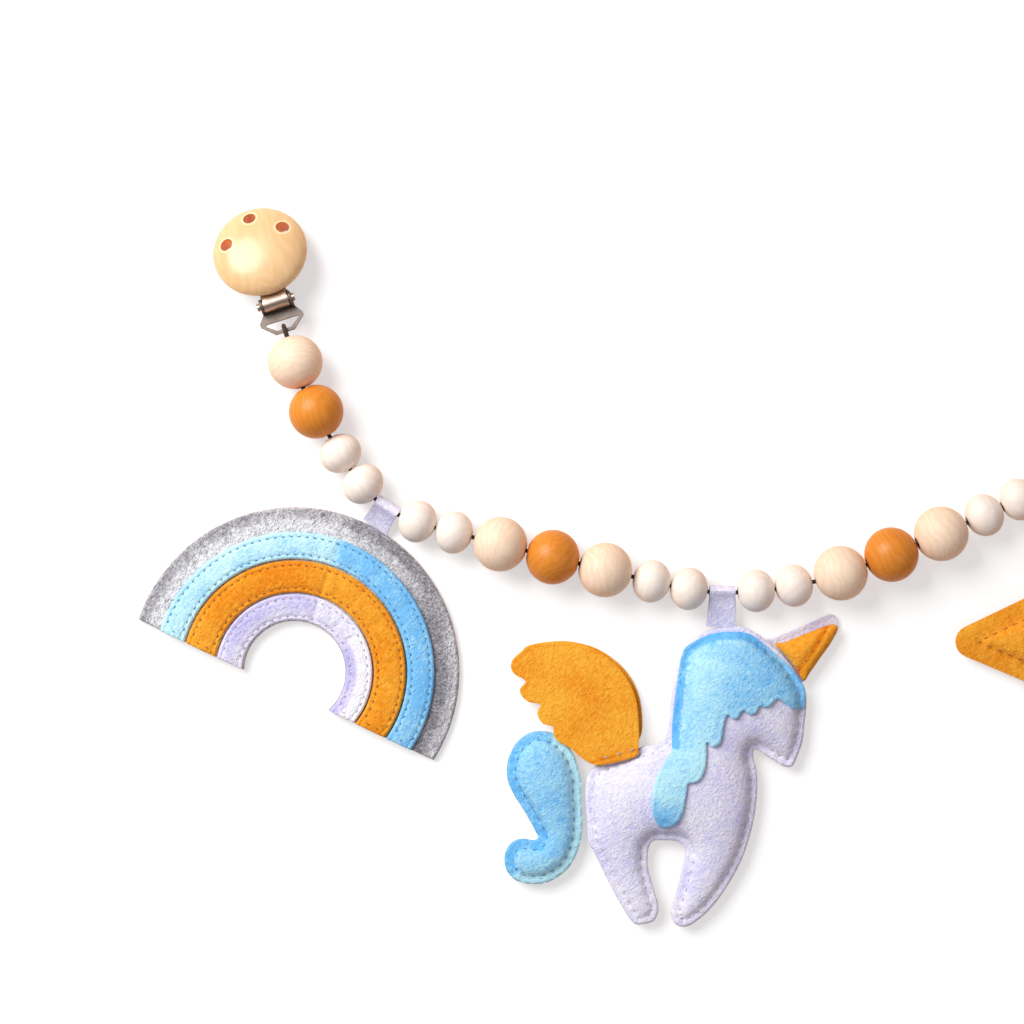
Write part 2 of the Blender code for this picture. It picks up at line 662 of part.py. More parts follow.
def form_mesh(name, shares, swell, under, tapers):
    """A stuffed felt form: two felts sewn at a flat rim, swelling over and under between the rims."""
    stations = stations_of(shares)
    low, high = stations[:, 0], stations[:, 1]
    width = np.linalg.norm(high - low, axis=1)
    run = np.concatenate([[0], np.cumsum(np.linalg.norm(np.diff(stations.mean(1), axis=0), axis=1))])
    full = np.ones(len(stations))
    for end, taper in zip((run, run[-1] - run), tapers):
        if taper:
            share = np.clip(end / (taper * width.max()), 0, 1)
            full *= np.sqrt(np.clip(1 - (1 - share) ** 2, 0, 1))
    full *= np.clip(width / width.max() * 1.5, 0, 1)
    q = np.array(FORM_PROFILE_SHARES)
    hump = np.sqrt(1 - q * q)
    rim = np.minimum(SEAM_ALLOWANCE / width, 0.22)[:, None]
    across = rim + (1 - 2 * rim) * (q + 1) / 2
    across = np.hstack([np.zeros_like(rim), across, np.ones_like(rim)])
    lift = np.concatenate([[0], hump, [0]])[None, :] * full[:, None]
    place = low[:, None, :] + (high - low)[:, None, :] * across[:, :, None]
    top = np.dstack([place, UNICORN_SEAM + FELT_THICKNESS + lift * swell])
    bottom = np.dstack([place, UNICORN_SEAM - FELT_THICKNESS - lift * under])[:, ::-1]
    rings = np.concatenate([top, bottom], axis=1)
    count, around = rings.shape[:2]
    faces = [(i * around + j, i * around + (j + 1) % around, (i + 1) * around + (j + 1) % around,
              (i + 1) * around + j) for i in range(count - 1) for j in range(around)]
    faces += [tuple(range(around)), tuple(range((count - 1) * around, count * around))]
    return mesh_from(rings.reshape(-1, 3), faces, name)


def grown(kit, name, mesh, parent, by=CLEARANCE * 1.2):
    """A cutter that keeps the clearance round a form."""
    made = kit.cutter(f"{name}_clear", mesh.copy(), parent)
    spread = made.modifiers.new("clearance", "DISPLACE")
    spread.strength = by
    spread.mid_level = 0
    return made


def outline_points(shares):
    return [(x * UNICORN_HEIGHT, -UNICORN_DROP - y * UNICORN_HEIGHT) for x, y in shares]


def drape_mesh(name, outline):
    """A flat outline cut by a grid, so that it can follow the form below it."""
    flat = bmesh.new()
    flat.faces.new([flat.verts.new((x, y, UNICORN_HEIGHT)) for x, y in outline])
    xs, ys = [p[0] for p in outline], [p[1] for p in outline]
    for axis, low, high in ((0, min(xs), max(xs)), (1, min(ys), max(ys))):
        count = max(1, round((high - low) / DRAPE_PITCH))
        for place in np.linspace(low, high, count + 1)[1:-1]:
            point, normal = [0, 0, 0], [0, 0, 0]
            point[axis], normal[axis] = place, 1
            bmesh.ops.bisect_plane(flat, geom=flat.verts[:] + flat.edges[:] + flat.faces[:],
                                   plane_co=point, plane_no=normal, dist=CLEARANCE / 30)
    bmesh.ops.recalc_face_normals(flat, faces=flat.faces)
    for face in flat.faces:
        if face.normal.z < 0:
            face.normal_flip()
    mesh = bpy.data.meshes.new(name)
    flat.to_mesh(mesh)
    flat.free()
    return mesh


def add_mane(kit, table, forms, clear):
    """The mane is one felt laid over the neck and shoulder, so it takes their crown."""
    guide_shape = bmesh.new()
    for mesh in forms:
        guide_shape.from_mesh(mesh)
    guide_mesh = bpy.data.meshes.new("mane_guide")
    guide_shape.to_mesh(guide_mesh)
    guide_shape.free()
    guide = kit.cutter("mane_guide", guide_mesh, table)
    mane = kit.piece("unicorn_mane", drape_mesh("unicorn_mane", outline_points(MANE_SHARES)),
                     "blue_felt", table)
    fall = mane.modifiers.new("fall", "SHRINKWRAP")
    fall.target = guide
    fall.wrap_method = "PROJECT"
    fall.use_project_z = True
    fall.use_negative_direction = True
    fall.use_positive_direction = False
    fall.offset = DRAPE_LIFT
    ply = mane.modifiers.new("ply", "SOLIDIFY")
    ply.thickness = FELT_THICKNESS
    ply.offset = 1
    for cutter in clear:
        boolean(mane, cutter)


def add_unicorn(kit, cord, items, root):
    table = hang(kit, cord, root, "unicorn", 0, 0, UNICORN_DROP - POLL_RISE, UNICORN_SEAM)
    torso = form_mesh("unicorn_torso", TORSO_SHARES, TORSO_SWELL, UNDER_SWELL, (0.35, 0.35))
    neck = form_mesh("unicorn_neck_and_head", NECK_SHARES, NECK_SWELL, UNDER_SWELL, (0, 0.35))
    front = form_mesh("unicorn_front_leg", FRONT_LEG_SHARES, LEG_SWELL, UNDER_SWELL, (0, 0.4))
    rear = form_mesh("unicorn_rear_leg", REAR_LEG_SHARES, LEG_SWELL, UNDER_SWELL, (0, 0.4))
    tail = form_mesh("unicorn_tail", TAIL_SHARES, TAIL_SWELL, UNDER_SWELL, (0.4, 0.3))
    horn = form_mesh("unicorn_horn", HORN_SHARES, HORN_SWELL, 0, (0, 0.4))
    clear_torso = grown(kit, "torso", torso, table)
    clear_neck = grown(kit, "neck", neck, table)
    clear_rear = grown(kit, "rear_leg", rear, table)
    kit.piece("unicorn_torso", torso, "white_felt", table)
    head = kit.piece("unicorn_neck_and_head", neck, "white_felt", table)
    boolean(head, clear_torso)
    for name, mesh in (("unicorn_front_leg", front), ("unicorn_rear_leg", rear)):
        leg = kit.piece(name, mesh, "white_felt", table)
        boolean(leg, clear_torso)
    tail_piece = kit.piece("unicorn_tail", tail, "blue_felt", table)
    boolean(tail_piece, clear_torso)
    boolean(tail_piece, clear_rear)
    horn_piece = kit.piece("unicorn_horn", horn, "orange_felt", table)
    boolean(horn_piece, clear_neck)
    mane_area = flat_mesh("mane_area", [outline_points(MANE_SHARES)], UNICORN_DROP)
    moved(mane_area, (0, 0, UNICORN_SEAM + UNICORN_DROP / 2))
    boolean(horn_piece, grown(kit, "mane_area", mane_area, table, FELT_THICKNESS))
    back = kit.piece("unicorn_horn_back",
                     flat_mesh("unicorn_horn_back", [outline_points(HORN_BACK_SHARES)], FELT_THICKNESS),
                     "white_felt", table, (0, 0, HORN_BACK_HEIGHT))
    boolean(back, clear_neck)
    add_mane(kit, table, (torso, neck), (clear_torso, clear_neck))
    outline = outline_points(WING_SHARES)
    root_line = min(y for x, y in outline)
    front_outline = [(x, y - root_line) for x, y in outline]
    wing = kit.piece("unicorn_front_wing", flat_mesh("unicorn_front_wing", [front_outline], FELT_THICKNESS),
                     "orange_felt", table, (0, root_line, WING_ROOT_HEIGHT), (-WING_DROOP, 0, 0))
    boolean(wing, clear_torso)
    shifted = [(x + BACK_WING_SHIFT, y) for x, y in outline]
    rear_wing = kit.piece("unicorn_back_wing", flat_mesh("unicorn_back_wing", [shifted], FELT_THICKNESS),
                          "orange_felt", table, (0, 0, BACK_WING_HEIGHT))
    boolean(rear_wing, clear_torso)
    clear_tail = grown(kit, "tail", tail, table)
    boolean(rear_wing, clear_tail)
    boolean(wing, clear_tail)


def star_outline(inset):
    """The star's outline, inset evenly, with each tip rounded by three points."""
    valley = STAR_RADIUS * STAR_VALLEY_SHARE
    points = []
    for i in range(STAR_POINTS):
        tip_angle = math.pi / 2 + i * 2 * math.pi / STAR_POINTS
        half = math.pi / STAR_POINTS
        tip = Vector((STAR_RADIUS, 0))
        dip = Vector((valley * math.cos(half), valley * math.sin(half)))
        side = (dip - tip).normalized()
        normal = Vector((side.y, -side.x))
        slope = math.atan2(-side.y, side.x)
        sharp = STAR_RADIUS - inset / math.sin(abs(math.pi - abs(slope)) or 1)
        dip_in = dip * (1 - inset / abs(dip.dot(normal)))
        rounding = STAR_TIP_ROUND
        near = Vector((sharp, 0)) + side * rounding
        nose = Vector((sharp - rounding * STAR_NOSE_SHARE, 0))
        for place in (Vector((near.x, -near.y)), nose, near, (near + dip_in) / 2, dip_in,):
            points.append(place.to_3d().copy())
            points[-1].rotate(Matrix.Rotation(tip_angle, 3, "Z"))
        middle = (near + dip_in) / 2
        after = middle.reflect(Vector((-math.sin(half), math.cos(half)))).to_3d()
        after.rotate(Matrix.Rotation(tip_angle, 3, "Z"))
        points.append(after)
    return points


def add_star(kit, cord, items, root):
    at = [item["at"] for item in items if item["kind"] == "tag"][-1]
    table = hang(kit, cord, root, "star", at, STAR_LEAN, STAR_DROP, STAR_SEAM)
    edge, seam = star_outline(0), star_outline(STAR_SEAM_INSET)
    rings = []
    for side, swell in ((1, STAR_SWELL), (-1, STAR_SEAM - FELT_THICKNESS - CLEARANCE)):
        face = STAR_SEAM + side * FELT_THICKNESS
        stack = [[(p.x, p.y, face) for p in edge], [(p.x, p.y, face) for p in seam]]
        for scale, lift in ((0.8, 0.55), (0.5, 0.88), (0.2, 1.0)):
            stack.append([(p.x * scale, p.y * scale, face + side * swell * lift) for p in seam])
        rings += stack if side > 0 else stack
    count = len(edge)
    points = [p for ring in rings for p in ring]
    faces = []
    for first, second in ((0, 1), (1, 2), (2, 3), (3, 4), (5, 6), (6, 7), (7, 8), (8, 9), (0, 5)):
        for j in range(count):
            k = (j + 1) % count
            faces.append((first * count + j, first * count + k, second * count + k, second * count + j))
    faces += [tuple(range(4 * count, 5 * count)), tuple(range(9 * count, 10 * count))]
    kit.piece("felt_star", mesh_from(points, faces, "felt_star"), "orange_felt", table,
              (0, -STAR_DROP - STAR_RADIUS + STAR_TIP_ROUND * STAR_NOSE_SHARE, 0))


def clip_tilt(bar_height):
    """How far a clip tips until its tongue or its disc's far rim meets the table."""
    pin_height = PLATE / 2 + BARREL_SEAT + BARREL_RADIUS
    rim_x, rim_z = DISC_AT + DISC_DIAMETER / 2, BARREL_RADIUS + CLEARANCE + DISC_RIM / 2
    rim = (PIN_AT + rim_x * math.cos(LEVER_RAKE) + rim_z * math.sin(LEVER_RAKE),
           pin_height + rim_z * math.cos(LEVER_RAKE) - rim_x * math.sin(LEVER_RAKE))
    tongue = (TONGUE_END, -PLATE / 2)
    tilts = []
    for x, z in (rim, tongue):
        tilts.append(math.atan2(z, x) + math.asin((bar_height - CLEARANCE) / math.hypot(x, z)))
    return min(tilts)


def clip_base_mesh_outline():
    half = [
        (-BAR_WIDTH / 2, BAR_LENGTH / 2), (FRAME_DEPTH - BAR_WIDTH, FRAME_WIDTH / 2),
        (FRAME_DEPTH, FRAME_WIDTH / 2), (WAIST_AT, EAR_SPAN / 2 + CLEARANCE / 2),
        (PIN_AT + EAR_RADIUS * 1.1, EAR_SPAN / 2 + CLEARANCE / 2),
        (PIN_AT + EAR_RADIUS * 2, TONGUE_WIDTH / 2), (TONGUE_END - BAR_WIDTH, TONGUE_WIDTH / 2),
        (TONGUE_END, TONGUE_WIDTH / 2 - BAR_WIDTH),
    ]
    rail = FRAME_WIDTH / 2 - SLOT_WIDTH / 2
    slot = [(BAR_WIDTH / 2, BAR_LENGTH / 2 - rail / 2), (SLOT_DEPTH - BAR_WIDTH / 2, SLOT_WIDTH / 2),
            (SLOT_DEPTH, SLOT_WIDTH / 2 - BAR_WIDTH / 2)]
    return [mirrored(half), mirrored(slot)]


def ear_outline(pin_height):
    """A side ear: upright from the plate, round over the pin."""
    arc = [(PIN_AT + EAR_RADIUS * math.cos(a), pin_height + EAR_RADIUS * math.sin(a))
           for a in np.radians(np.arange(0, 181, 20))]
    return arc + [(PIN_AT - EAR_RADIUS, 0), (PIN_AT + EAR_RADIUS, 0)]


def teeth_outline(count, width, height, root):
    """A row of triangular teeth across a width, standing on a strip of height root."""
    pitch = width / count
    points = [(-width / 2, -root), (width / 2, -root)]
    for i in range(count):
        right = width / 2 - i * pitch
        points += [(right, 0), (right - pitch / 2, height)]
    return points + [(-width / 2, 0)]


def moved(mesh, offset, turn_z=0.0):
    shape = bmesh.new()
    shape.from_mesh(mesh)
    if turn_z:
        bmesh.ops.rotate(shape, cent=(0, 0, 0), verts=shape.verts,
                         matrix=Matrix.Rotation(turn_z, 3, "Z"))
    bmesh.ops.translate(shape, vec=offset, verts=shape.verts)
    shape.to_mesh(mesh)
    shape.free()
    return mesh


def add_clip(kit, cord, items, root, name, side):
    """One toggle clip: base with ears and tongue, pin, lever, grip pad, rivet and wooden disc."""
    place, out = strap_bar(cord, items, side)
    heading = math.atan2(out.y, out.x)
    bar = kit.frame(f"{name}_bar_axis", root, place, (0, clip_tilt(place.z), heading))
    pin_height = PLATE / 2 + BARREL_SEAT + BARREL_RADIUS
    pin_place = (PIN_AT, 0, pin_height)
    hinge = kit.frame(f"{name}_pin_axis", bar, pin_place, (0, LEVER_RAKE, 0))
    hole = PIN_DIAMETER / 2 + CLEARANCE

    base = kit.piece(f"{name}_base", flat_mesh(f"{name}_base", clip_base_mesh_outline(), PLATE),
                     "nickel", bar, smooth=0.5)
    ear_y = (EAR_SPAN - PLATE) / 2
    for word, y in (("left", ear_y), ("right", -ear_y)):
        ear = moved(flat_mesh(f"{name}_{word}_ear", [ear_outline(pin_height)], PLATE, upright=True), (0, y, 0))
        boolean(base, kit.cutter(f"{name}_{word}_ear", ear, bar), "UNION")
    lip = flat_mesh(f"{name}_lip", [teeth_outline(TOOTH_COUNT, TONGUE_WIDTH - BAR_WIDTH * 2, TONGUE_LIP / 2,
                                                  PLATE)], PLATE, upright=True)
    lip = moved(lip, (TONGUE_END - PLATE * 0.75, 0, PLATE / 2 + TONGUE_LIP / 2), math.pi / 2)
    boolean(base, kit.cutter(f"{name}_lip", lip, bar), "UNION")
    bore = cylinder_mesh(f"{name}_pin_bore", hole, -EAR_SPAN, EAR_SPAN, "Y")
    boolean(base, kit.cutter(f"{name}_pin_bore", bore, bar, pin_place))

    reach = EAR_SPAN / 2 + CLEARANCE + PIN_HEAD
    pin = kit.piece(f"{name}_pin", cylinder_mesh(f"{name}_pin", PIN_DIAMETER / 2, -reach, reach, "Y"),
                    "nickel", hinge)
    for word, low in (("left", EAR_SPAN / 2 + CLEARANCE), ("right", -reach)):
        head = cylinder_mesh(f"{name}_{word}_head", PIN_HEAD_DIAMETER / 2, low, low + PIN_HEAD, "Y")
        boolean(pin, kit.cutter(f"{name}_{word}_head", head, hinge), "UNION")

    inner = EAR_SPAN / 2 - PLATE - CLEARANCE
    barrel = cylinder_mesh(f"{name}_lever", BARREL_RADIUS, -inner, inner, "Y", DISC_STEPS)
    lever = kit.piece(f"{name}_lever", barrel, "nickel", hinge, smooth=0.5)
    half = [(-PIN_DIAMETER / 4, LEVER_WIDTH / 2), (LEVER_LENGTH - BAR_WIDTH, LEVER_WIDTH / 2),
            (LEVER_LENGTH, LEVER_WIDTH / 2 - BAR_WIDTH)]
    shank_hole = [(RIVET_AT + (RIVET_SHANK / 2 + CLEARANCE) * math.cos(a),
                   (RIVET_SHANK / 2 + CLEARANCE) * math.sin(a)) for a in np.radians(np.arange(0, 360, 30))]
    arm = moved(flat_mesh(f"{name}_arm", [mirrored(half), shank_hole], PLATE),
                (0, 0, BARREL_RADIUS - PLATE / 2 - CLEARANCE / 10))
    boolean(lever, kit.cutter(f"{name}_arm", arm, hinge), "UNION")
    knuckle = cylinder_mesh(f"{name}_knuckle", KNUCKLE_RADIUS, -inner, inner, "Y")
    knuckle_place = (BARREL_RADIUS * 1.05, 0, BARREL_RADIUS - PLATE)
    boolean(lever, kit.cutter(f"{name}_knuckle", knuckle, hinge, knuckle_place), "UNION")
    boolean(lever, kit.cutter(f"{name}_lever_bore", bore.copy(), hinge))

    under = BARREL_RADIUS - PLATE - CLEARANCE * 1.1
    pad_end = LEVER_LENGTH - BAR_WIDTH / 2
    pitch = PAD_LENGTH / PAD_TEETH
    profile = [(pad_end - PAD_LENGTH, under), (pad_end - PAD_LENGTH, under - PAD_THICKNESS)]
    for i in range(PAD_TEETH):
        start = pad_end - PAD_LENGTH + i * pitch
        profile += [(start + pitch / 2, under - PAD_THICKNESS - PAD_TOOTH),
                    (start + pitch, under - PAD_THICKNESS)]
    profile += [(pad_end, under)]
    pad = flat_mesh(f"{name}_grip_pad", [profile], PAD_WIDTH, upright=True)
    kit.piece(f"{name}_grip_pad", pad, "grip_plastic", hinge, smooth=0.3)

    head_top = under
    rivet = kit.piece(f"{name}_rivet",
                      cylinder_mesh(f"{name}_rivet", RIVET_HEAD / 2, head_top - RIVET_HEAD_THICKNESS, head_top),
                      "nickel", hinge, (RIVET_AT, 0, 0))
    shank = cylinder_mesh(f"{name}_shank", RIVET_SHANK / 2, head_top - RIVET_HEAD_THICKNESS / 2,
                          BARREL_RADIUS + RIVET_REACH, steps=12)
    boolean(rivet, kit.cutter(f"{name}_shank", shank, hinge, (RIVET_AT, 0, 0)), "UNION")

    radius = DISC_DIAMETER / 2
    crown = [(radius * math.sin(a), DISC_RIM / 2 + (DISC_THICKNESS - DISC_RIM / 2) * math.cos(a))
             for a in np.radians((8, 20, 32, 44, 56, 68, 80))]
    back = [(radius, DISC_RIM / 2), (radius - DISC_RIM / 7, DISC_RIM / 5), (radius - DISC_RIM / 2.5, 0)]
    disc_profile = [(0, DISC_THICKNESS)] + crown + back + [(0, 0)]
    mesh = bpy.data.meshes.new(f"{name}_disc")
    mesh.from_pydata([(r, 0, z) for r, z in disc_profile], [(i, i + 1) for i in range(len(disc_profile) - 1)],
                     [])
    disc = kit.piece(f"{name}_disc", mesh, "disc_wood", hinge, (DISC_AT, 0, BARREL_RADIUS + CLEARANCE),
                     smooth=0.8)
    turn(disc, DISC_STEPS)
    for i in range(VENT_COUNT):
        angle = (i - (VENT_COUNT - 1) / 2) * VENT_SPREAD
        vent = cylinder_mesh(f"{name}_vent_{i + 1}", VENT_DIAMETER / 2, -OVERRUN, DISC_THICKNESS + OVERRUN,
                             steps=12)
        where = (DISC_AT + VENT_CIRCLE_RADIUS * math.cos(angle), VENT_CIRCLE_RADIUS * math.sin(angle),
                 BARREL_RADIUS + CLEARANCE)
        boolean(disc, kit.cutter(f"{name}_vent_{i + 1}", vent, hinge, where))
    socket = cylinder_mesh(f"{name}_socket", RIVET_SHANK / 2 + CLEARANCE, -OVERRUN,
                           RIVET_REACH, steps=12)
    boolean(disc, kit.cutter(f"{name}_socket", socket, hinge, (RIVET_AT, 0, BARREL_RADIUS + CLEARANCE)))


def add_flexes(kit, cord, root):
    """A frame at each place where the chain bends."""
    for i, at in enumerate(flex_places()):
        kit.frame(f"flex_{i + 1}", root, cord.point(at), (0, 0, cord.heading(at)))


def centre_on_table(kit, root):
    """Move the whole chain so that its box is centred on the origin and stands on z = 0."""
    bpy.context.view_layer.update()
    graph = bpy.context.evaluated_depsgraph_get()
    low, high = Vector((1, 1, 1)), Vector((-1, -1, -1))
    for piece in kit.parts.objects:
        if piece.type == "EMPTY":
            continue
        shown = piece.evaluated_get(graph)
        mesh = shown.to_mesh()
        for vertex in mesh.vertices:
            place = shown.matrix_world @ vertex.co
            low = Vector(map(min, low, place))
            high = Vector(map(max, high, place))
        shown.to_mesh_clear()
    root.location = (-(low.x + high.x) / 2, -(low.y + high.y) / 2, -low.z)
    bpy.context.view_layer.update()


def main():
    kit = Kit()
    root = kit.frame("chain_on_table", None)
    items = string_items()
    cord = Cord()
    cord.set_heights(items)
    add_flexes(kit, cord, root)
    add_beads(kit, cord, items, root)
    add_cord(kit, cord, items, root)
    add_rainbow(kit, cord, items, root)
    add_unicorn(kit, cord, items, root)
    add_star(kit, cord, items, root)
    add_clip(kit, cord, items, root, "left_clip", -1)
    add_clip(kit, cord, items, root, "right_clip", 1)
    centre_on_table(kit, root)


main()
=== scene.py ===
"""Pram chain: turned wooden beads on elastic between two toggle clips, with three sewn felt pendants."""
import json
import logging
import math
from collections.abc import Callable
from dataclasses import dataclass
from enum import Enum

import bmesh
import bpy
import numpy as np
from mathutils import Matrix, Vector
from mathutils.geometry import delaunay_2d_cdt


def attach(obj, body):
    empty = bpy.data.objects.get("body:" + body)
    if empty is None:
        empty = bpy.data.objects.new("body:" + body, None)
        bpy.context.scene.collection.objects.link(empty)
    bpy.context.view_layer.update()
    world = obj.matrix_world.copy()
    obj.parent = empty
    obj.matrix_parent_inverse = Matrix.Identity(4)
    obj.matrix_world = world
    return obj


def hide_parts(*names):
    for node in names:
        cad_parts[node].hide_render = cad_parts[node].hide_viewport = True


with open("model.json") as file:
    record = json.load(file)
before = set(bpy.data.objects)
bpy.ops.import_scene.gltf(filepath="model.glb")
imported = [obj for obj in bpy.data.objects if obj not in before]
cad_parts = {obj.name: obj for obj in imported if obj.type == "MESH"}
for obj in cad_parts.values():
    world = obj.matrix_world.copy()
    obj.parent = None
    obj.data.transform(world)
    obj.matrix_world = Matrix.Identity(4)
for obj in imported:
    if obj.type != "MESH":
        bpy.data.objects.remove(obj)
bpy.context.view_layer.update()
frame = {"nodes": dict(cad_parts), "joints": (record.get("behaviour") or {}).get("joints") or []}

log = logging.getLogger("pram_chain")
MM = 0.001
Triple = tuple[float, float, float]
JOINTS = {joint["name"]: joint for joint in frame["joints"]}
VENT_RADIUS = 2.4 * MM
VENT_MIDDLES = [(11.5 * MM * math.cos(turn), 11.5 * MM * math.sin(turn)) for turn in np.radians([-70, 0, 70])]


# Shader maths


class Signal:
    """A shader socket; Python's operators on it add Math nodes."""

    def __init__(self, graph: "Graph", socket: bpy.types.NodeSocket) -> None:
        """Keep the graph and the socket that carries the value."""
        self.graph = graph
        self.socket = socket

    def math(self, operation: str, *others: "Signal | float") -> "Signal":
        """Apply one Math operation to this value and the others."""
        return self.graph.math(operation, self, *others)

    def __add__(self, other: "Signal | float") -> "Signal":
        """Sum."""
        return self.math("ADD", other)

    def __sub__(self, other: "Signal | float") -> "Signal":
        """Difference."""
        return self.math("SUBTRACT", other)

    def __rsub__(self, other: float) -> "Signal":
        """Number minus this value."""
        return self.graph.math("SUBTRACT", other, self)

    def __mul__(self, other: "Signal | float") -> "Signal":
        """Product."""
        return self.math("MULTIPLY", other)

    def __pow__(self, power: float) -> "Signal":
        """Power."""
        return self.math("POWER", power)

    def sin(self) -> "Signal":
        """Sine."""
        return self.math("SINE")

    def clamp(self) -> "Signal":
        """Held between 0 and 1."""
        return self.graph.signal("ShaderNodeClamp", inputs={"Value": self})

    def step(self, low: float, high: float) -> "Signal":
        """Smooth step from 0 at low to 1 at high.

        Args:
            low: Value at which the step starts.
            high: Value at which the step ends.

        Returns:
            A value from 0 to 1.
        """
        return self.graph.signal("ShaderNodeMapRange", settings={"interpolation_type": "SMOOTHSTEP"},
                                 inputs={"Value": self, "From Min": low, "From Max": high})


class Graph:
    """One material's node tree and the few ways in which this file adds to it."""

    def __init__(self, name: str) -> None:
        """Start a material with a Principled shader."""
        self.material = bpy.data.materials.new(f"{name}_finish")
        self.material.use_nodes = True
        self.tree = self.material.node_tree
        self.shader = self.tree.nodes["Principled BSDF"]

    def node(self, kind: str, settings: dict | None = None, inputs: dict | None = None) -> bpy.types.Node:
        """Add any node.

        Args:
            kind: The node's type.
            settings: Its properties.
            inputs: Values or links of its sockets, by name or index.

        Returns:
            The node.
        """
        made = self.tree.nodes.new(kind)
        for key, value in (settings or {}).items():
            setattr(made, key, value)
        for key, value in (inputs or {}).items():
            self.feed(made.inputs[key], value)
        return made

    def feed(self, socket: bpy.types.NodeSocket, value: object) -> None:
        """Link a signal to a socket, or set a number, a vector or a colour on it."""
        if isinstance(value, Signal):
            self.tree.links.new(value.socket, socket)
        elif socket.type == "RGBA":
            socket.default_value = (*value, 1.0)
        else:
            socket.default_value = value

    def signal(self, kind: str, output: int | str = 0, settings: dict | None = None,
               inputs: dict | None = None) -> Signal:
        """Add a node and return one of its outputs."""
        return Signal(self, self.node(kind, settings, inputs).outputs[output])

    def math(self, operation: str, *values: "Signal | float") -> Signal:
        """Add a Math node."""
        return self.signal("ShaderNodeMath", settings={"operation": operation},
                           inputs=dict(enumerate(values)))

    def mix(self, share: "Signal | float", first: object, second: object) -> Signal:
        """Mix two colours by a share."""
        return self.signal("ShaderNodeMix", output=2, settings={"data_type": "RGBA"},
                           inputs={0: share, 6: first, 7: second})

    def place(self, attribute: str | None = None, scale: tuple = (1, 1, 1), offset: tuple = (0, 0, 0),
              turn: float = 0) -> Signal:
        """Coordinates of the surface: an attribute's or the object's, scaled, turned about Z and moved."""
        if attribute is None:
            source = self.signal("ShaderNodeTexCoord", "Object")
        else:
            source = self.signal("ShaderNodeAttribute", "Vector", {"attribute_name": attribute})
        if turn:
            source = self.signal("ShaderNodeMapping", inputs={"Vector": source, "Rotation": (0, 0, turn)})
        return self.signal("ShaderNodeMapping", inputs={"Vector": source, "Scale": scale, "Location": offset})

    def noise(self, place: Signal, scale: float, detail: float = 3, roughness: float = 0.55,
              distortion: float = 0) -> Signal:
        """Soft noise from 0 to 1."""
        return self.signal("ShaderNodeTexNoise", inputs={
            "Vector": place, "Scale": scale, "Detail": detail, "Roughness": roughness,
            "Distortion": distortion})

    def axes(self, place: Signal) -> tuple[Signal, Signal, Signal]:
        """The three parts of a vector."""
        split = self.node("ShaderNodeSeparateXYZ", inputs={"Vector": place})
        return tuple(Signal(self, socket) for socket in split.outputs)

    def bump(self, height: Signal, distance: float) -> Signal:
        """A normal bumped by a height; distance is the relief's depth in metres."""
        return self.signal("ShaderNodeBump", inputs={"Height": height, "Distance": distance})

    def dress(self, **sockets: object) -> bpy.types.Material:
        """Set the shader's sockets, named with underscores for spaces, and return the material."""
        for key, value in sockets.items():
            self.feed(self.shader.inputs[key.replace("_", " ")], value)
        return self.material


def srgb(red: float, green: float, blue: float) -> Triple:
    """A linear colour from screen values of 0 to 255."""
    return tuple(((v / 255 + 0.055) / 1.055) ** 2.4 if v > 10 else v / 255 / 12.92 for v in (red, green, blue))


# Finishes


@dataclass(frozen=True)
class TurnedWood:
    """Fine-grained turned wood with growth rings, fibres and pores along the grain attribute's X."""

    name: str
    pale: Triple
    dark: Triple
    ring: float = 420
    contrast: float = 0.55
    roughness: float = 0.42
    coat: float = 0.0
    relief: float = 0.04 * MM

    def pattern(self, graph: Graph) -> tuple[Signal, Signal]:
        """Growth rings round the grain's axis, and fibres along it, each from 0 to 1."""
        warp = graph.noise(graph.place("grain", (18, 60, 60)), 1.6, 2)
        _, y, z = graph.axes(graph.place("grain"))
        radius = (y * y + z * z) ** 0.5 * self.ring + warp * 5.5
        rings = (radius * math.tau).sin() * 0.5 + 0.5
        fibres = graph.noise(graph.place("grain", (60, 1500, 1500)), 1.0, 4, 0.6)
        return rings, fibres

    def build(self) -> bpy.types.Material:
        """Make the material."""
        graph = Graph(self.name)
        rings, fibres = self.pattern(graph)
        blotch = graph.noise(graph.place("grain"), 95, 2)
        share = (rings * 0.5 + fibres * 0.55 + blotch * 0.5 - 0.35).clamp() * self.contrast
        colour = graph.mix(share, self.pale, self.dark)
        pores = graph.noise(graph.place("grain", (120, 2600, 2600)), 1.0, 2).step(0.62, 0.72)
        colour = graph.mix(pores * 0.25, colour, self.dark)
        return graph.dress(
            Base_Color=self.finish_colour(graph, colour),
            Roughness=fibres * 0.16 + (self.roughness - 0.08),
            Coat_Weight=self.coat, Coat_Roughness=0.24, Specular_IOR_Level=0.25,
            Normal=graph.bump(fibres - pores * 0.5, self.relief))

    def finish_colour(self, graph: Graph, colour: Signal) -> Signal:
        """The colour as it is left on the piece."""
        return colour


@dataclass(frozen=True)
class VentedWood(TurnedWood):
    """A clip disc's lacquered wood, with painted warm shade on the walls of its vents and a pale ring round each."""

    vent_wall_shade: Triple = srgb(255, 176, 10)
    vent_rim_colour: Triple = srgb(252, 232, 196)

    def finish_colour(self, graph: Graph, colour: Signal) -> Signal:
        """Distance from each vent's axis gives the painted shade on its wall and its pale rim."""
        x, y, _ = graph.axes(graph.place("grain"))
        for middle in VENT_MIDDLES:
            dx, dy = x - middle[0], y - middle[1]
            away = (dx * dx + dy * dy) ** 0.5
            rim = 1 - away.step(VENT_RADIUS + 0.5 * MM, VENT_RADIUS + 0.9 * MM)
            wall = 1 - away.step(VENT_RADIUS + 0.03 * MM, VENT_RADIUS + 0.1 * MM)
            colour = graph.mix(rim * 0.75, colour, self.vent_rim_colour)
            # Painted warm shade on the vent's wall.
            colour = graph.mix(wall, colour, self.vent_wall_shade)
        return colour


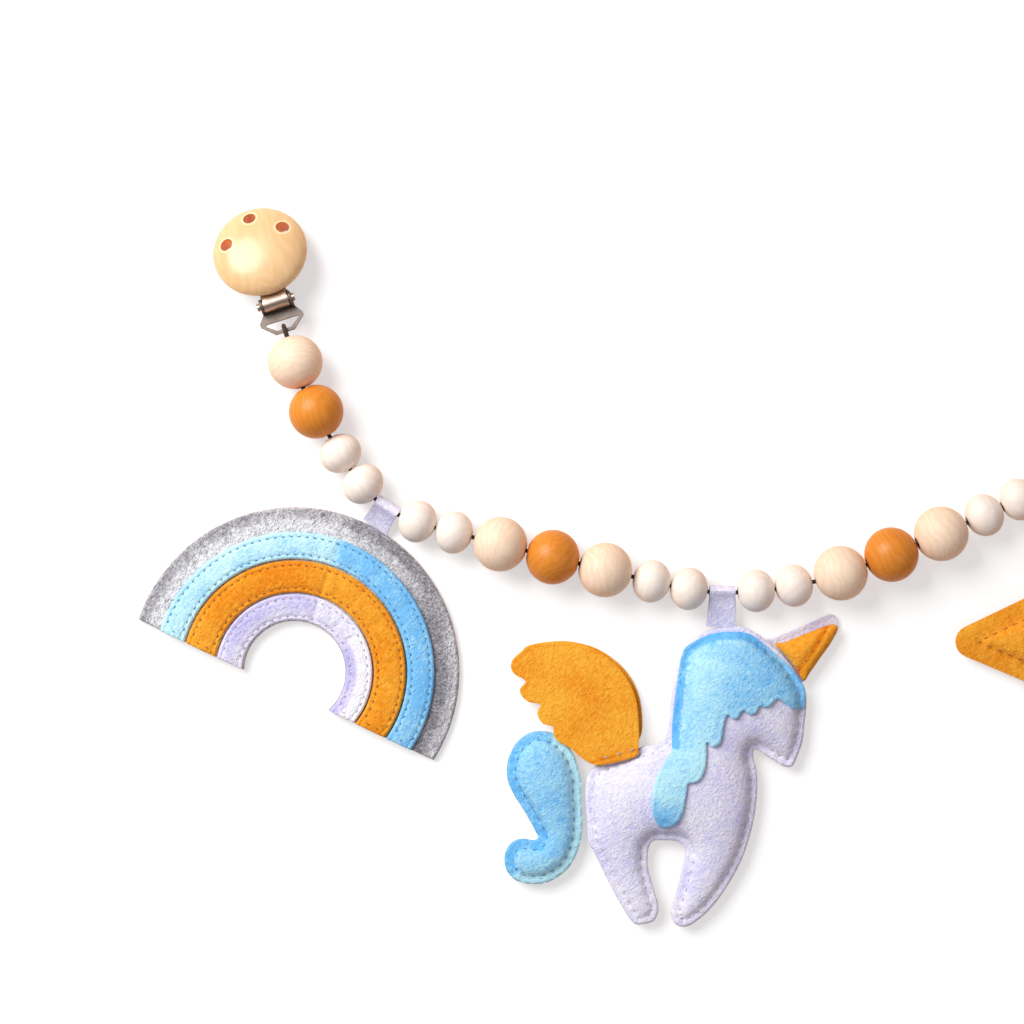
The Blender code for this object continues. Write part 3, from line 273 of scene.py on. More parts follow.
@dataclass(frozen=True)
class Felt:
    """Pressed wool felt: crinkled, matted fibres with painted shade in their valleys, and the edge attribute's
    painted shade at seams, creases and folds, with a deeper tone on some pieces.
    """

    name: str
    colour: Triple
    shade: Triple
    fleck: Triple | None = None
    fleck_share: float = 0.5
    relief: float = 0.5 * MM
    depth: float = 1.5
    edge_shade_and_tone_share: float = 0.55

    def build(self) -> bpy.types.Material:
        """Make the material."""
        graph = Graph(self.name)
        place = graph.place()
        fuzz = graph.noise(place, 2300, 3, 0.7)
        crinkle = graph.noise(graph.place(None, (1.35, 0.72, 1), turn=0.8), 900, 2, 0.5, 0.9)
        mat = graph.noise(place, 430, 3, 0.6, 1.0)
        cloud = graph.noise(place, 60, 2)
        height = crinkle + mat * 0.6 + fuzz * 0.35
        edge = graph.signal("ShaderNodeAttribute", "Fac", {"attribute_name": "edge"})
        # Painted shade: the fibres' valleys and the edge attribute pull the colour towards the shade colour; cloud is
        # random tone.
        share = ((1.0 - height) * self.depth + (cloud - 0.5) * 1.3 + edge * self.edge_shade_and_tone_share + 0.3).clamp()
        colour = graph.mix(share, self.colour, self.shade)
        if self.fleck is not None:
            strands = graph.noise(graph.place(None, (1.8, 0.6, 1), turn=0.5), 700, 4, 0.7, 1.8).step(0.46, 0.58)
            second = graph.noise(graph.place(None, (0.6, 1.9, 1), (0.3, 0.1, 0), 0.4), 800, 4, 0.7, 1.8)
            colour = graph.mix(strands * self.fleck_share, colour, self.fleck)
            colour = graph.mix(second.step(0.5, 0.62) * 0.55, colour, self.colour)
        return graph.dress(
            Base_Color=colour, Roughness=0.95, Specular_IOR_Level=0.15, Sheen_Weight=0.08,
            Sheen_Roughness=0.5, Normal=graph.bump(height, self.relief))


@dataclass(frozen=True)
class Thread:
    """Twisted sewing thread; the twist follows the stitch's own UV."""

    name: str
    colour: Triple

    def build(self) -> bpy.types.Material:
        """Make the material."""
        graph = Graph(self.name)
        u, v, _ = graph.axes(graph.signal("ShaderNodeUVMap"))
        twist = ((u + v * 6) * (2 * math.tau)).sin() * 0.5 + 0.5
        # Painted shade in the grooves of the twist.
        dark = tuple(c * 0.72 for c in self.colour)
        return graph.dress(Base_Color=graph.mix(twist, dark, self.colour), Roughness=0.7,
                           Sheen_Weight=0.2, Normal=graph.bump(twist, 0.08 * MM))


@dataclass(frozen=True)
class Braid:
    """Braided elastic cord: crossing strands that follow the cord's UV."""

    name: str
    colour: Triple

    def build(self) -> bpy.types.Material:
        """Make the material."""
        graph = Graph(self.name)
        u, v, _ = graph.axes(graph.signal("ShaderNodeUVMap"))
        left = ((u * 6 + v) * math.tau).sin()
        right = ((u * 6 - v) * math.tau).sin()
        weave = left * right * 0.5 + 0.5
        fibre = graph.noise(graph.place(), 3000, 2)
        # Painted shade in the hollows between the crossing strands.
        dark = tuple(c * 0.45 for c in self.colour)
        return graph.dress(Base_Color=graph.mix((weave * 0.8 + fibre * 0.3).clamp(), dark, self.colour),
                           Roughness=0.75, Sheen_Weight=0.15, Normal=graph.bump(weave, 0.2 * MM))


@dataclass(frozen=True)
class Plated:
    """Nickel-plated steel with faint drawing marks and dull spots."""

    name: str
    colour: Triple = srgb(206, 182, 166)
    tarnish: Triple = srgb(176, 150, 132)
    roughness: float = 0.2
    mottle: float = 0.16

    def build(self) -> bpy.types.Material:
        """Make the material."""
        graph = Graph(self.name)
        place = graph.place()
        drawn = graph.noise(graph.place(None, (300, 2400, 2400)), 1.0, 3)
        cloud = graph.noise(place, 220, 4, 0.6)
        specks = graph.noise(place, 1400, 2).step(0.66, 0.74)
        colour = graph.mix((cloud * 0.8 - 0.2).clamp(), self.colour, self.tarnish)
        return graph.dress(Base_Color=graph.mix(specks * 0.3, colour, self.tarnish), Metallic=1.0,
                           Roughness=(cloud + drawn * 0.6 + specks) * self.mottle + self.roughness,
                           Normal=graph.bump(drawn, 0.02 * MM))


@dataclass(frozen=True)
class Moulded:
    """Moulded plastic with a fine spark-eroded skin."""

    name: str
    colour: Triple

    def build(self) -> bpy.types.Material:
        """Make the material."""
        graph = Graph(self.name)
        skin = graph.noise(graph.place(), 2600, 3)
        cloud = graph.noise(graph.place(), 150, 2)
        dark = tuple(c * 0.85 for c in self.colour)
        return graph.dress(Base_Color=graph.mix(cloud * 0.6, self.colour, dark),
                           Roughness=skin * 0.15 + 0.35, Normal=graph.bump(skin, 0.03 * MM))


class Finish(Enum):
    """Every finish on the chain."""

    NATURAL = TurnedWood("natural_wood", srgb(252, 226, 200), srgb(234, 192, 156))
    PALE = TurnedWood("pale_wood", srgb(252, 240, 230), srgb(232, 208, 190), contrast=0.5, ring=300)
    ORANGE = TurnedWood("orange_lacquer", srgb(226, 142, 50), srgb(200, 106, 22), coat=0.14, roughness=0.42)
    DISC = VentedWood("disc_wood", srgb(238, 198, 148), srgb(220, 170, 112), coat=0.75, roughness=0.34,
                      ring=240)
    CORD = Braid("elastic_braid", srgb(72, 48, 36))
    NICKEL = Plated("nickel_plate")
    PLATE = Plated("base_plate_nickel", srgb(122, 112, 106), srgb(96, 86, 80), 0.42, 0.18)
    GRIP = Moulded("grip_plastic", srgb(236, 236, 232))
    WHITE = Felt("white_felt", srgb(248, 246, 255), srgb(206, 200, 252), edge_shade_and_tone_share=0.0)
    # The white felt again, for the rainbow's white band, with a share for its painted shade.
    BAND_WHITE = Felt("band_white_felt", srgb(248, 246, 255), srgb(196, 188, 240), depth=1.1)
    BLUE = Felt("blue_felt", srgb(190, 240, 255), srgb(106, 188, 248))
    PALE_BLUE = Felt("pale_blue_felt", srgb(206, 246, 252), srgb(120, 194, 248))
    FELT_ORANGE = Felt("orange_felt", srgb(255, 184, 60), srgb(234, 130, 14), edge_shade_and_tone_share=0.15)
    GREY = Felt("grey_felt", srgb(236, 236, 240), srgb(142, 138, 146), srgb(78, 74, 84), 0.66)
    WHITE_THREAD = Thread("white_thread", srgb(246, 244, 248))
    BLUE_THREAD = Thread("blue_thread", srgb(108, 178, 226))
    ORANGE_THREAD = Thread("orange_thread", srgb(214, 116, 18))

    def material(self) -> bpy.types.Material:
        """This finish's material, made once."""
        return bpy.data.materials.get(f"{self.value.name}_finish") or self.value.build()


# Mesh building


@dataclass(frozen=True)
class Placing:
    """A frame in the object's space: an origin and three axes as the rows of a matrix."""

    origin: np.ndarray
    axes: np.ndarray

    @staticmethod
    def spin(turn: float) -> np.ndarray:
        """The axes of a level frame turned about +Z."""
        c, s = math.cos(turn), math.sin(turn)
        return np.array([[c, s, 0], [-s, c, 0], [0, 0, 1.0]])

    @classmethod
    def upright(cls, origin: np.ndarray, heading: float) -> "Placing":
        """A frame on a level table, turned about +Z by heading."""
        return cls(origin, cls.spin(heading))

    @classmethod
    def along(cls, origin: np.ndarray, axis: np.ndarray) -> "Placing":
        """A frame whose Z runs along an axis."""
        z = np.asarray(axis, float) / np.linalg.norm(axis)
        x = np.cross([0, 0, 1.0], z)
        x /= np.linalg.norm(x)
        return cls(np.array(origin), np.array([x, np.cross(z, x), z]))

    def out(self, points: np.ndarray) -> np.ndarray:
        """Points in this frame, as points of the object."""
        return self.origin + np.asarray(points, float) @ self.axes

    def moved(self, offset: Triple, turn: float = 0.0) -> "Placing":
        """A frame at an offset in this one, turned about its Z."""
        return Placing(self.out(offset), self.spin(turn) @ self.axes)


class Bench:
    """Turns arrays into finished pieces."""

    @staticmethod
    def link(name: str, data: bpy.types.ID) -> bpy.types.Object:
        """Put a mesh, lamp or camera into the scene."""
        made = bpy.data.objects.new(name, data)
        bpy.context.scene.collection.objects.link(made)
        return made

    @staticmethod
    def note(mesh: bpy.types.Mesh, name: str, values: np.ndarray) -> None:
        """Write an attribute with a number or a vector for each vertex."""
        vector = np.ndim(values) == 2
        attribute = mesh.attributes.new(name, "FLOAT_VECTOR" if vector else "FLOAT", "POINT")
        attribute.data.foreach_set("vector" if vector else "value", np.asarray(values, float).ravel())

    @staticmethod
    def piece(name: str, points: np.ndarray, faces: list, finish: Finish, body: str, nodes: tuple[str, ...],
              slot: str, uv: np.ndarray | None = None, crease: float = 50, **notes: np.ndarray) -> bpy.types.Object:
        """Make one piece of the object.

        Args:
            name: The piece's name.
            points: Its vertices in the object's space.
            faces: Its faces as vertex numbers.
            finish: Its finish.
            body: The moving body that it rides on.
            nodes: The solids that it stands for.
            slot: The record's material slot; not used.
            uv: One UV pair for each vertex.
            crease: Edges bent more than this many degrees are sharp.
            notes: grain, a vector for each vertex, or edge, how far a felt's colour goes towards its shade colour:
                painted shade at seams, creases, folds and shaded sides, and on some pieces a deeper tone.

        Returns:
            The object.
        """
        mesh = bpy.data.meshes.new(name)
        mesh.from_pydata(np.asarray(points).tolist(), [], [list(map(int, f)) for f in faces])
        shape = bmesh.new()
        shape.from_mesh(mesh)
        bmesh.ops.recalc_face_normals(shape, faces=shape.faces)
        shape.to_mesh(mesh)
        shape.free()
        if uv is not None:
            layer = mesh.uv_layers.new(name="UVMap")
            corner = np.zeros(len(mesh.loops), int)
            mesh.loops.foreach_get("vertex_index", corner)
            layer.data.foreach_set("uv", np.asarray(uv, float)[corner].ravel())
        for key, values in notes.items():
            Bench.note(mesh, key, values)
        mesh.materials.append(finish.material())
        mesh.shade_smooth()
        mesh.set_sharp_from_angle(angle=math.radians(crease))
        made = Bench.link(name, mesh)
        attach(made, body)
        if nodes:
            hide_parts(*nodes)
        return made

    @staticmethod
    def tube_faces(rows: int, around: int, caps: bool = True) -> list:
        """Faces of a grid of rows whose points close round."""
        faces = Bench.ring_faces(rows, around)[:(rows - 1) * around]
        if caps:
            faces += [tuple(range(around))[::-1], tuple(range((rows - 1) * around, rows * around))]
        return faces

    @staticmethod
    def ring_faces(rows: int, around: int) -> list:
        """Faces of a grid that closes both ways, like a ring's skin; the last row's are those that join it up."""
        return [(i * around + j, i * around + (j + 1) % around, (i + 1) % rows * around + (j + 1) % around,
                 (i + 1) % rows * around + j) for i in range(rows) for j in range(around)]

    @staticmethod
    def turned(section: np.ndarray, around: int) -> np.ndarray:
        """Points of a section of radius and height that is turned about Z."""
        angle = turns(around)
        return np.stack([section[:, None, 0] * np.cos(angle), section[:, None, 0] * np.sin(angle),
                         np.repeat(section[:, 1:], around, axis=1)], axis=2).reshape(-1, 3)


def turns(count: int) -> np.ndarray:
    """Evenly spaced angles round a circle."""
    return np.linspace(0, math.tau, count, endpoint=False)


def unit(rows: np.ndarray) -> np.ndarray:
    """Each row brought to a length of 1."""
    return rows / np.linalg.norm(rows, axis=1)[:, None]


def held(values: np.ndarray) -> np.ndarray:
    """Values held between 0 and 1."""
    return np.clip(values, 0, 1)


def bell(away: np.ndarray, width: float) -> np.ndarray:
    """1 where away is 0, fading to both sides over a width."""
    return np.exp(-(away / width) ** 2)


def lengths(path: np.ndarray) -> np.ndarray:
    """Length of a path up to each of its points."""
    return np.concatenate([[0], np.cumsum(np.linalg.norm(np.diff(path, axis=0), axis=1))])


def smooth_path(knots: np.ndarray, closed: bool, pitch: float) -> np.ndarray:
    """A Catmull-Rom curve through knots, resampled at an even pitch.

    Args:
        knots: The points that the curve runs through, of any dimension.
        closed: Whether the last point joins the first.
        pitch: The distance between the points of the result.

    Returns:
        The points along the curve.
    """
    knots = np.asarray(knots, float)
    if closed:
        ring = np.vstack([knots[-1:], knots, knots[:2]])
    else:
        ring = np.vstack([2 * knots[0] - knots[1], knots, 2 * knots[-1] - knots[-2]])
    t = np.linspace(0, 1, 24, endpoint=False)[:, None]
    a, b, c, d = (ring[i:len(ring) - 3 + i, None, :] for i in range(4))
    dense = (b * 2 + (c - a) * t + (2 * a - 5 * b + 4 * c - d) * t**2 + (3 * b - a - 3 * c + d) * t**3) / 2
    dense = dense.reshape(-1, knots.shape[1])
    dense = np.vstack([dense, dense[:1] if closed else knots[-1:]])
    length = lengths(dense)
    count = max(4, round(length[-1] / pitch))
    places = np.linspace(0, length[-1], count + 1)[:-1 if closed else None]
    return np.column_stack([np.interp(places, length, dense[:, k]) for k in range(knots.shape[1])])


def tube(path: np.ndarray, radius: float, sides: int) -> tuple[np.ndarray, list, np.ndarray]:
    """A round tube along a path, by carrying a frame along it without twist.

    Args:
        path: The centre line.
        radius: The tube's radius.
        sides: How many points go round.

    Returns:
        Vertices, faces, and UV pairs whose first runs round and second along, in tube diameters.
    """
    run = unit(np.gradient(path, axis=0))
    side = np.zeros_like(path)
    side[0] = np.cross(run[0], [0.03, 0.02, 1.0])
    for i in range(1, len(path)):
        side[i] = side[i - 1] - run[i] * side[i - 1].dot(run[i])
    side = unit(side)
    up = np.cross(run, side)
    angle = turns(sides)
    ring = side[:, None] * np.cos(angle)[:, None] + up[:, None] * np.sin(angle)[:, None]
    points = (path[:, None] + ring * radius).reshape(-1, 3)
    uv = np.dstack(np.meshgrid(angle / math.tau, lengths(path) / (2 * radius))).reshape(-1, 2)
    return points, Bench.tube_faces(len(path), sides), uv


@dataclass
class Stitches:
    """A run of short thread stitches, each a small capsule laid along the cloth."""

    length: float
    gap: float
    radius: float
    sides: int = 6
    lift: float = 0.05 * MM
    # Each ring's place along the stitch, its width and its height, as shares and in metres.
    rings: tuple = ((-0.5, 0.25, -0.3 * MM), (-0.4, 0.9, 0.0), (0.0, 1.0, 0.3 * MM), (0.4, 0.9, 0.0),
                    (0.5, 0.25, -0.3 * MM))

    def lay(self, path: np.ndarray) -> tuple[np.ndarray, np.ndarray, np.ndarray]:
        """Capsules at an even pitch along a path on the cloth.

        A capsule's middle line stands above the cloth by lift, bows up and dips at its ends.

        Args:
            path: Points on the cloth's surface.

        Returns:
            Vertices, quads and UV pairs.
        """
        length = lengths(path)
        count = max(1, int(length[-1] / (self.length + self.gap)))
        starts = (np.arange(count) + 0.5) * length[-1] / count
        rows, width, dip = np.array(self.rings).T
        at = starts[:, None] + rows[None] * self.length
        centre = np.dstack([np.interp(at, length, path[:, k]) for k in range(3)])
        centre[:, :, 2] += self.lift + dip
        run = unit(centre[:, -1] - centre[:, 0])
        side = unit(np.cross(run, [0, 0, 1.0]))
        up = np.cross(side, run)
        angle = turns(self.sides)
        ring = side[:, None, None] * np.cos(angle)[:, None] + up[:, None, None] * np.sin(angle)[:, None]
        points = centre[:, :, None] + ring * (width * self.radius)[:, None, None]
        one = np.array(Bench.tube_faces(len(rows), self.sides, caps=False))
        faces = (one + np.arange(count)[:, None, None] * len(rows) * self.sides).reshape(-1, 4)
        uv = np.dstack(np.meshgrid(angle / math.tau, rows)).reshape(-1, 2)
        return points.reshape(-1, 3), faces, np.tile(uv, (count, 1))

    def sew(self, name: str, paths: list[np.ndarray], finish: Finish, body: str, slot: str) -> bpy.types.Object:
        """Lay stitches along several paths as one piece, each stitch closed at its ends."""
        points, faces, uvs, start = [], [], [], 0
        for path in paths:
            p, quads, uv = self.lay(path)
            faces += (quads + start).tolist()
            faces += [list(range(k + start, k + start + self.sides)) for k in range(0, len(p), self.sides)
                      if k // self.sides % len(self.rings) in (0, len(self.rings) - 1)]
            points.append(p)
            uvs.append(uv)
            start += len(p)
        return Bench.piece(name, np.vstack(points), faces, finish, body, (), slot, uv=np.vstack(uvs))


class FeltShape:
    """A cut felt outline, with its inside, its distance from the edge and the swell of its stuffing."""

    edge_pitch = 0.9 * MM
    grid = 0.75 * MM

    def __init__(self, knots: np.ndarray, seam: float, smooth: bool = True) -> None:
        """Resample the outline and solve the swell.

        Args:
            knots: The outline's points.
            seam: How far inside the edge the seam runs.
            smooth: Whether the outline curves through its points.
        """
        self.seam = seam
        self.edge = smooth_path(knots, True, self.edge_pitch) if smooth else self.straight(knots)
        self.next = np.roll(self.edge, -1, axis=0)
        area = (self.edge[:, 0] * self.next[:, 1] - self.next[:, 0] * self.edge[:, 1]).sum() / 2
        if area < 0:
            self.edge = self.edge[::-1].copy()
            self.next = np.roll(self.edge, -1, axis=0)
        self.area = abs(area)
        self.length = lengths(np.vstack([self.edge, self.edge[:1]]))
        self.low = self.edge.min(0) - 2 * self.grid
        size = np.ceil((self.edge.max(0) + 2 * self.grid - self.low) / self.grid).astype(int) + 1
        self.high = self.low + (size - 1) * self.grid
        cells = self.low + np.argwhere(np.ones(size, bool)) * self.grid
        stuffed = self.inside(cells) & (self.distance(cells)[0] > seam)
        self.swell = self.relax(stuffed.reshape(size), 14 * int(1.2 * max(size)))

    def straight(self, knots: np.ndarray) -> np.ndarray:
        """Points at a pitch along straight edges between knots, with the corners kept."""
        points = []
        for a, b in zip(knots, np.roll(knots, -1, axis=0)):
            count = max(1, round(np.linalg.norm(b - a) / self.edge_pitch))
            points.append(a + (b - a) * np.linspace(0, 1, count, endpoint=False)[:, None])
        return np.vstack(points)

    @staticmethod
    def relax(stuffed: np.ndarray, rounds: int) -> np.ndarray:
        """Height of a skin under even pressure, pinned at the seam: its Laplacian is -1 inside.

        Args:
            stuffed: Where the filling is.
            rounds: How many times each height is set from its neighbours.

        Returns:
            The height, scaled so that its greatest is 1.
        """
        height = np.zeros(stuffed.shape)
        inner = stuffed[1:-1, 1:-1]
        for _ in range(rounds):
            around = height[:-2, 1:-1] + height[2:, 1:-1] + height[1:-1, :-2] + height[1:-1, 2:]
            height[1:-1, 1:-1] = np.where(inner, (around + 1) / 4, 0)
        return height / max(height.max(), 1e-9)

    @staticmethod
    def batches(points: np.ndarray) -> list[slice]:
        """Slices of points that are small enough to be held against every edge at once."""
        return [slice(start, start + 3000) for start in range(0, len(points), 3000)]

    def inside(self, points: np.ndarray) -> np.ndarray:
        """Whether each point is inside, by counting the edges that a ray to +x crosses."""
        found = np.zeros(len(points), bool)
        a, b = self.edge, self.next
        rise = np.where(np.abs(b[:, 1] - a[:, 1]) < 1e-12, 1e-12, b[:, 1] - a[:, 1])
        for part in self.batches(points):
            x, y = points[part, 0, None], points[part, 1, None]
            crosses = (a[:, 1] > y) != (b[:, 1] > y)
            found[part] = (crosses & (a[:, 0] + (y - a[:, 1]) * (b[:, 0] - a[:, 0]) / rise > x)).sum(1) % 2 == 1
        return found

    def distance(self, points: np.ndarray) -> tuple[np.ndarray, np.ndarray]:
        """Distance of each point from the outline, and the place along it that is nearest."""
        away, along = np.zeros(len(points)), np.zeros(len(points))
        run = self.next - self.edge
        square = (run**2).sum(1)
        for part in self.batches(points):
            p = points[part, None]
            t = held(((p - self.edge) * run).sum(2) / square)
            gap = np.linalg.norm(p - (self.edge + run * t[..., None]), axis=2)
            best = gap.argmin(1)
            rows = np.arange(len(best))
            away[part] = gap[rows, best]
            along[part] = self.length[best] + t[rows, best] * np.sqrt(square[best])
        return away, along

    @staticmethod
    def rounding(away: np.ndarray) -> np.ndarray:
        """How rounded a face is at a distance from the cut edge: 1 at it, 0 from 0.6 mm on."""
        return held(1 - away / (0.6 * MM)) ** 2

    def fullness(self, points: np.ndarray) -> np.ndarray:
        """The stuffing's height at points, from 0 at the seam to 1: the root of the swell, which makes it fuller."""
        x, y = (np.clip((points[:, k] - self.low[k]) / self.grid, 0, self.swell.shape[k] - 1.001) for k in (0, 1))
        i, j = x.astype(int), y.astype(int)
        u, v = x - i, y - j
        s = self.swell
        value = (s[i, j] * (1 - u) * (1 - v) + s[i + 1, j] * u * (1 - v) + s[i, j + 1] * (1 - u) * v
                 + s[i + 1, j + 1] * u * v)
        return np.sqrt(np.clip(value, 0, None))

    def inset(self, by: float) -> np.ndarray:
        """The outline moved inwards along its normals."""
        run = unit(self.next - np.roll(self.edge, 1, axis=0))
        return self.edge + np.column_stack([-run[:, 1], run[:, 0]]) * by

    def seam_line(self, by: float) -> np.ndarray:
        """The outline moved inwards, leaving out points that would come nearer to another edge."""
        moved = self.inset(by)
        return moved[(self.distance(moved)[0] > by * 0.96) & self.inside(moved)]

    def mesh(self, pitch: float) -> tuple[np.ndarray, np.ndarray]:
        """Triangles that fill the outline, with rows along its seam and an even grid inside.

        Args:
            pitch: The grid's pitch.

        Returns:
            Points, of which the outline's come first, and triangles.
        """
        rows = [self.seam_line(by) for by in (0.35 * self.seam, 0.75 * self.seam, self.seam,
                                              self.seam + 0.5 * pitch)]
        grid = np.dstack(np.meshgrid(np.arange(self.low[0], self.high[0], pitch),
                                     np.arange(self.low[1], self.high[1], pitch * 0.87), indexing="ij"))
        grid[:, ::2, 0] += pitch / 2
        grid = grid.reshape(-1, 2)
        grid = grid[self.inside(grid) & (self.distance(grid)[0] > self.seam + 0.9 * pitch)]
        points = np.vstack([self.edge, *rows, grid])
        loop = list(range(len(self.edge)))
        made = delaunay_2d_cdt([Vector(p) for p in points], [], [loop], 1, 1e-7)
        return np.array([tuple(v) for v in made[0]]), np.array([f for f in made[2] if len(f) == 3])

    def skins(self, faces: np.ndarray, chain: list[int]) -> list:
        """Faces of an upper and a lower skin, and of walls between their edges.

        Args:
            faces: The triangles of one skin.
            chain: The number of the first point of each row of the edge, from the upper skin's to the lower's.

        Returns:
            All faces.
        """
        count = len(self.edge)
        walls = [(a + i, a + (i + 1) % count, b + (i + 1) % count, b + i)
                 for a, b in zip(chain, chain[1:]) for i in range(count)]
        return faces.tolist() + (faces + chain[-1])[:, ::-1].tolist() + walls


@dataclass
class FeltWork:
    """Two felts sewn together at a rim, with stuffing between."""

    name: str
    shape: FeltShape
    placing: Placing
    middle: float
    ply: float
    top_swell: float
    under_swell: float
    pucker: float = 0.22 * MM
    stitch_pitch: float = 4.3 * MM
    seam_dip: float = 0.5 * MM
    ply_line: float = 0.3 * MM
    mesh_pitch: float = 1.25 * MM

    def sewn(self, xy: np.ndarray) -> np.ndarray:
        """The seam's dip and the small puckers between its stitches, fading away from the seam."""
        away, along = self.shape.distance(xy)
        off = away - self.shape.seam
        puckers = np.cos(along * math.tau / self.stitch_pitch) * np.exp(-np.abs(off) / (1.7 * MM))
        return self.pucker * puckers - self.seam_dip * bell(off, 0.8 * MM)

    def rim(self, xy: np.ndarray) -> np.ndarray:
        """How far each face is rounded off near the cut edge, as a share of the ply."""
        return 1 - 0.35 * self.shape.rounding(self.shape.distance(xy)[0])

    def top(self, xy: np.ndarray) -> np.ndarray:
        """Height of the upper face: the ply at the rim, and the swell over the stuffing."""
        return self.middle + self.ply * self.rim(xy) + self.sewn(xy) + self.top_swell * self.shape.fullness(xy)

    def under(self, xy: np.ndarray) -> np.ndarray:
        """Height of the lower face, the upper one's mirror with its own swell."""
        return self.middle - self.ply * self.rim(xy) - self.sewn(xy) * 0.5 \
            - self.under_swell * self.shape.fullness(xy)

    def build(self, finish: Finish, body: str, nodes: tuple[str, ...], slot: str, fill: float = 0.6) -> "FeltWork":
        """Close the two faces with an edge that shows both plies."""
        xy, faces = self.shape.mesh(self.mesh_pitch)
        line = self.shape.edge
        rows = [np.column_stack([ring, np.full(len(line), self.middle + z * self.ply)])
                for ring, z in ((line, 0.14), (self.shape.inset(self.ply_line), 0.0), (line, -0.14))]
        points = np.vstack([np.column_stack([xy, self.top(xy)]), np.column_stack([xy, self.under(xy)]), *rows])
        first = 2 * len(xy)
        chain = [0, first, first + len(line), first + 2 * len(line), len(xy)]
        # Painted shade from deepening, and full painted shade on the walls of the cut edge.
        edge = self.deepening(xy)
        made = Bench.piece(self.name, self.placing.out(points), self.shape.skins(faces, chain), finish, body, nodes,
                           slot, crease=70, edge=np.concatenate([edge, edge, np.ones(3 * len(line))]))
        return self

    def deepening(self, xy: np.ndarray) -> np.ndarray:
        """Painted shade on the felt, all the way from the seam out to the cut edge."""
        return 1 - held((self.shape.distance(xy)[0] - self.shape.seam) / (0.9 * MM))

    def seam_path(self, upper: bool = True) -> np.ndarray:
        """The seam's line on a face, in the object's space; under the piece it is a little proud of the felt."""
        line = self.shape.seam_line(self.shape.seam)
        line = np.vstack([line, line[:1]])
        return self.placing.out(np.column_stack([line, self.top(line) if upper else self.under(line) - 0.15 * MM]))


@dataclass
class CreasedFelt(FeltWork):
    """A form whose sewn line is straight and near one edge only."""

    line: tuple = ((0.0, 0.0), (1.0, 0.0))
    dent: float = 0.9 * MM

    def crease(self, xy: np.ndarray, width: float) -> np.ndarray:
        """How close points lie to the sewn line: 1 on it, fading over a width."""
        first, last = np.array(self.line)
        run = (last - first) / np.linalg.norm(last - first)
        away = (xy - first) @ np.array([-run[1], run[0]])
        return bell(away, width)

    def sewn(self, xy: np.ndarray) -> np.ndarray:
        """The sewn line's dent."""
        return -self.dent * self.crease(xy, 0.75 * MM)

    def deepening(self, xy: np.ndarray) -> np.ndarray:
        """Painted shade along the sewn line's dent."""
        return 7 * self.crease(xy, 0.4 * MM)


@dataclass
class SideShadedFelt(FeltWork):
    """A form with painted shade on the rim of its upper left side and painted light on the rim of the other."""

    shaded_side: tuple[float, float] = (-0.89, 0.45)
    inner: float = 0.3

    def deepening(self, xy: np.ndarray) -> np.ndarray:
        """The rim's painted shade and light follow the way that its edge faces; the stuffed middle is even."""
        _, along = self.shape.distance(xy)
        run = self.shape.next - self.shape.edge
        facing = np.column_stack([run[:, 1], -run[:, 0]]) @ self.shaded_side / np.linalg.norm(run, axis=1)
        nearest = (np.searchsorted(self.shape.length, along, side="right") - 1) % len(run)
        rim = super().deepening(xy)
        # Painted shade where the rim faces the shaded side, painted light where it faces away; inner is an even tone.
        return rim * np.clip(facing[nearest] * 2.2, -1, 1) + (1 - rim) * self.inner


# The chain

BEADS = {"small": (14.0 * MM, 15.8 * MM, 3.6 * MM, Finish.PALE, "pale_wood"),
         "large": (19.8 * MM, 20.2 * MM, 4.4 * MM, Finish.NATURAL, "natural_wood"),
         "orange": (19.8 * MM, 20.2 * MM, 4.4 * MM, Finish.ORANGE, "orange_lacquer")}
BEAD_NODES = sorted(node for node in frame["nodes"] if node.startswith("bead_"))
PENDANT_STRETCH = {"rainbow": 2, "unicorn": 4, "star": 6}
HALF_TAG = 4.75 * MM


@dataclass
class Beads:
    """Turned beads: flattened balls with a straight bore and a small rounded mouth."""

    around: int = 64
    rows: int = 40
    mouth: float = 0.25 * MM

    def profile(self, length: float, diameter: float, bore: float) -> np.ndarray:
        """Radius and height round a bead's section: an arc of the ellipse, then the bore between its mouths."""
        start = math.asin((bore + 2 * self.mouth) / diameter)
        angle = np.linspace(start, math.pi - start, self.rows)
        arc = np.column_stack([diameter / 2 * np.sin(angle), length / 2 * np.cos(angle)])
        end = arc[-1, 1]
        turn = np.radians([25, 50, 75])
        lip = np.column_stack([bore / 2 + self.mouth * (1 - np.sin(turn)), end + self.mouth * (1 - np.cos(turn))])
        bored = np.column_stack([np.full(3, bore / 2), np.linspace(end + self.mouth, -end - self.mouth, 3)])
        upper = lip[::-1] * [1, -1]
        return np.vstack([arc, lip, bored, upper])

    def build(self) -> None:
        """Turn every bead about its own axis of the chain."""
        chance = np.random.default_rng(7)
        for node in BEAD_NODES:
            *size, finish, slot = BEADS[node.rsplit("_", 1)[1]]
            joint = JOINTS[f"{node[:7]}_turn"]
            section = self.profile(*size)
            local = Bench.turned(section, self.around)
            Bench.piece(f"{node}_turned", Placing.along(joint["pos_m"], joint["axis"]).out(local),
                        Bench.ring_faces(len(section), self.around), finish, f"{node[:7]}_body", (node,), slot,
                        crease=60, grain=self.grain(local, chance))
        log.info("beads: %d", len(BEAD_NODES))

    @staticmethod
    def grain(local: np.ndarray, chance: np.random.Generator) -> np.ndarray:
        """Each bead is cut from its own place in a plank, at its own slant."""
        basis, _ = np.linalg.qr(chance.normal(size=(3, 3)))
        return local @ basis + chance.uniform(-0.02, 0.02, 3) + [0, 0.035, 0]


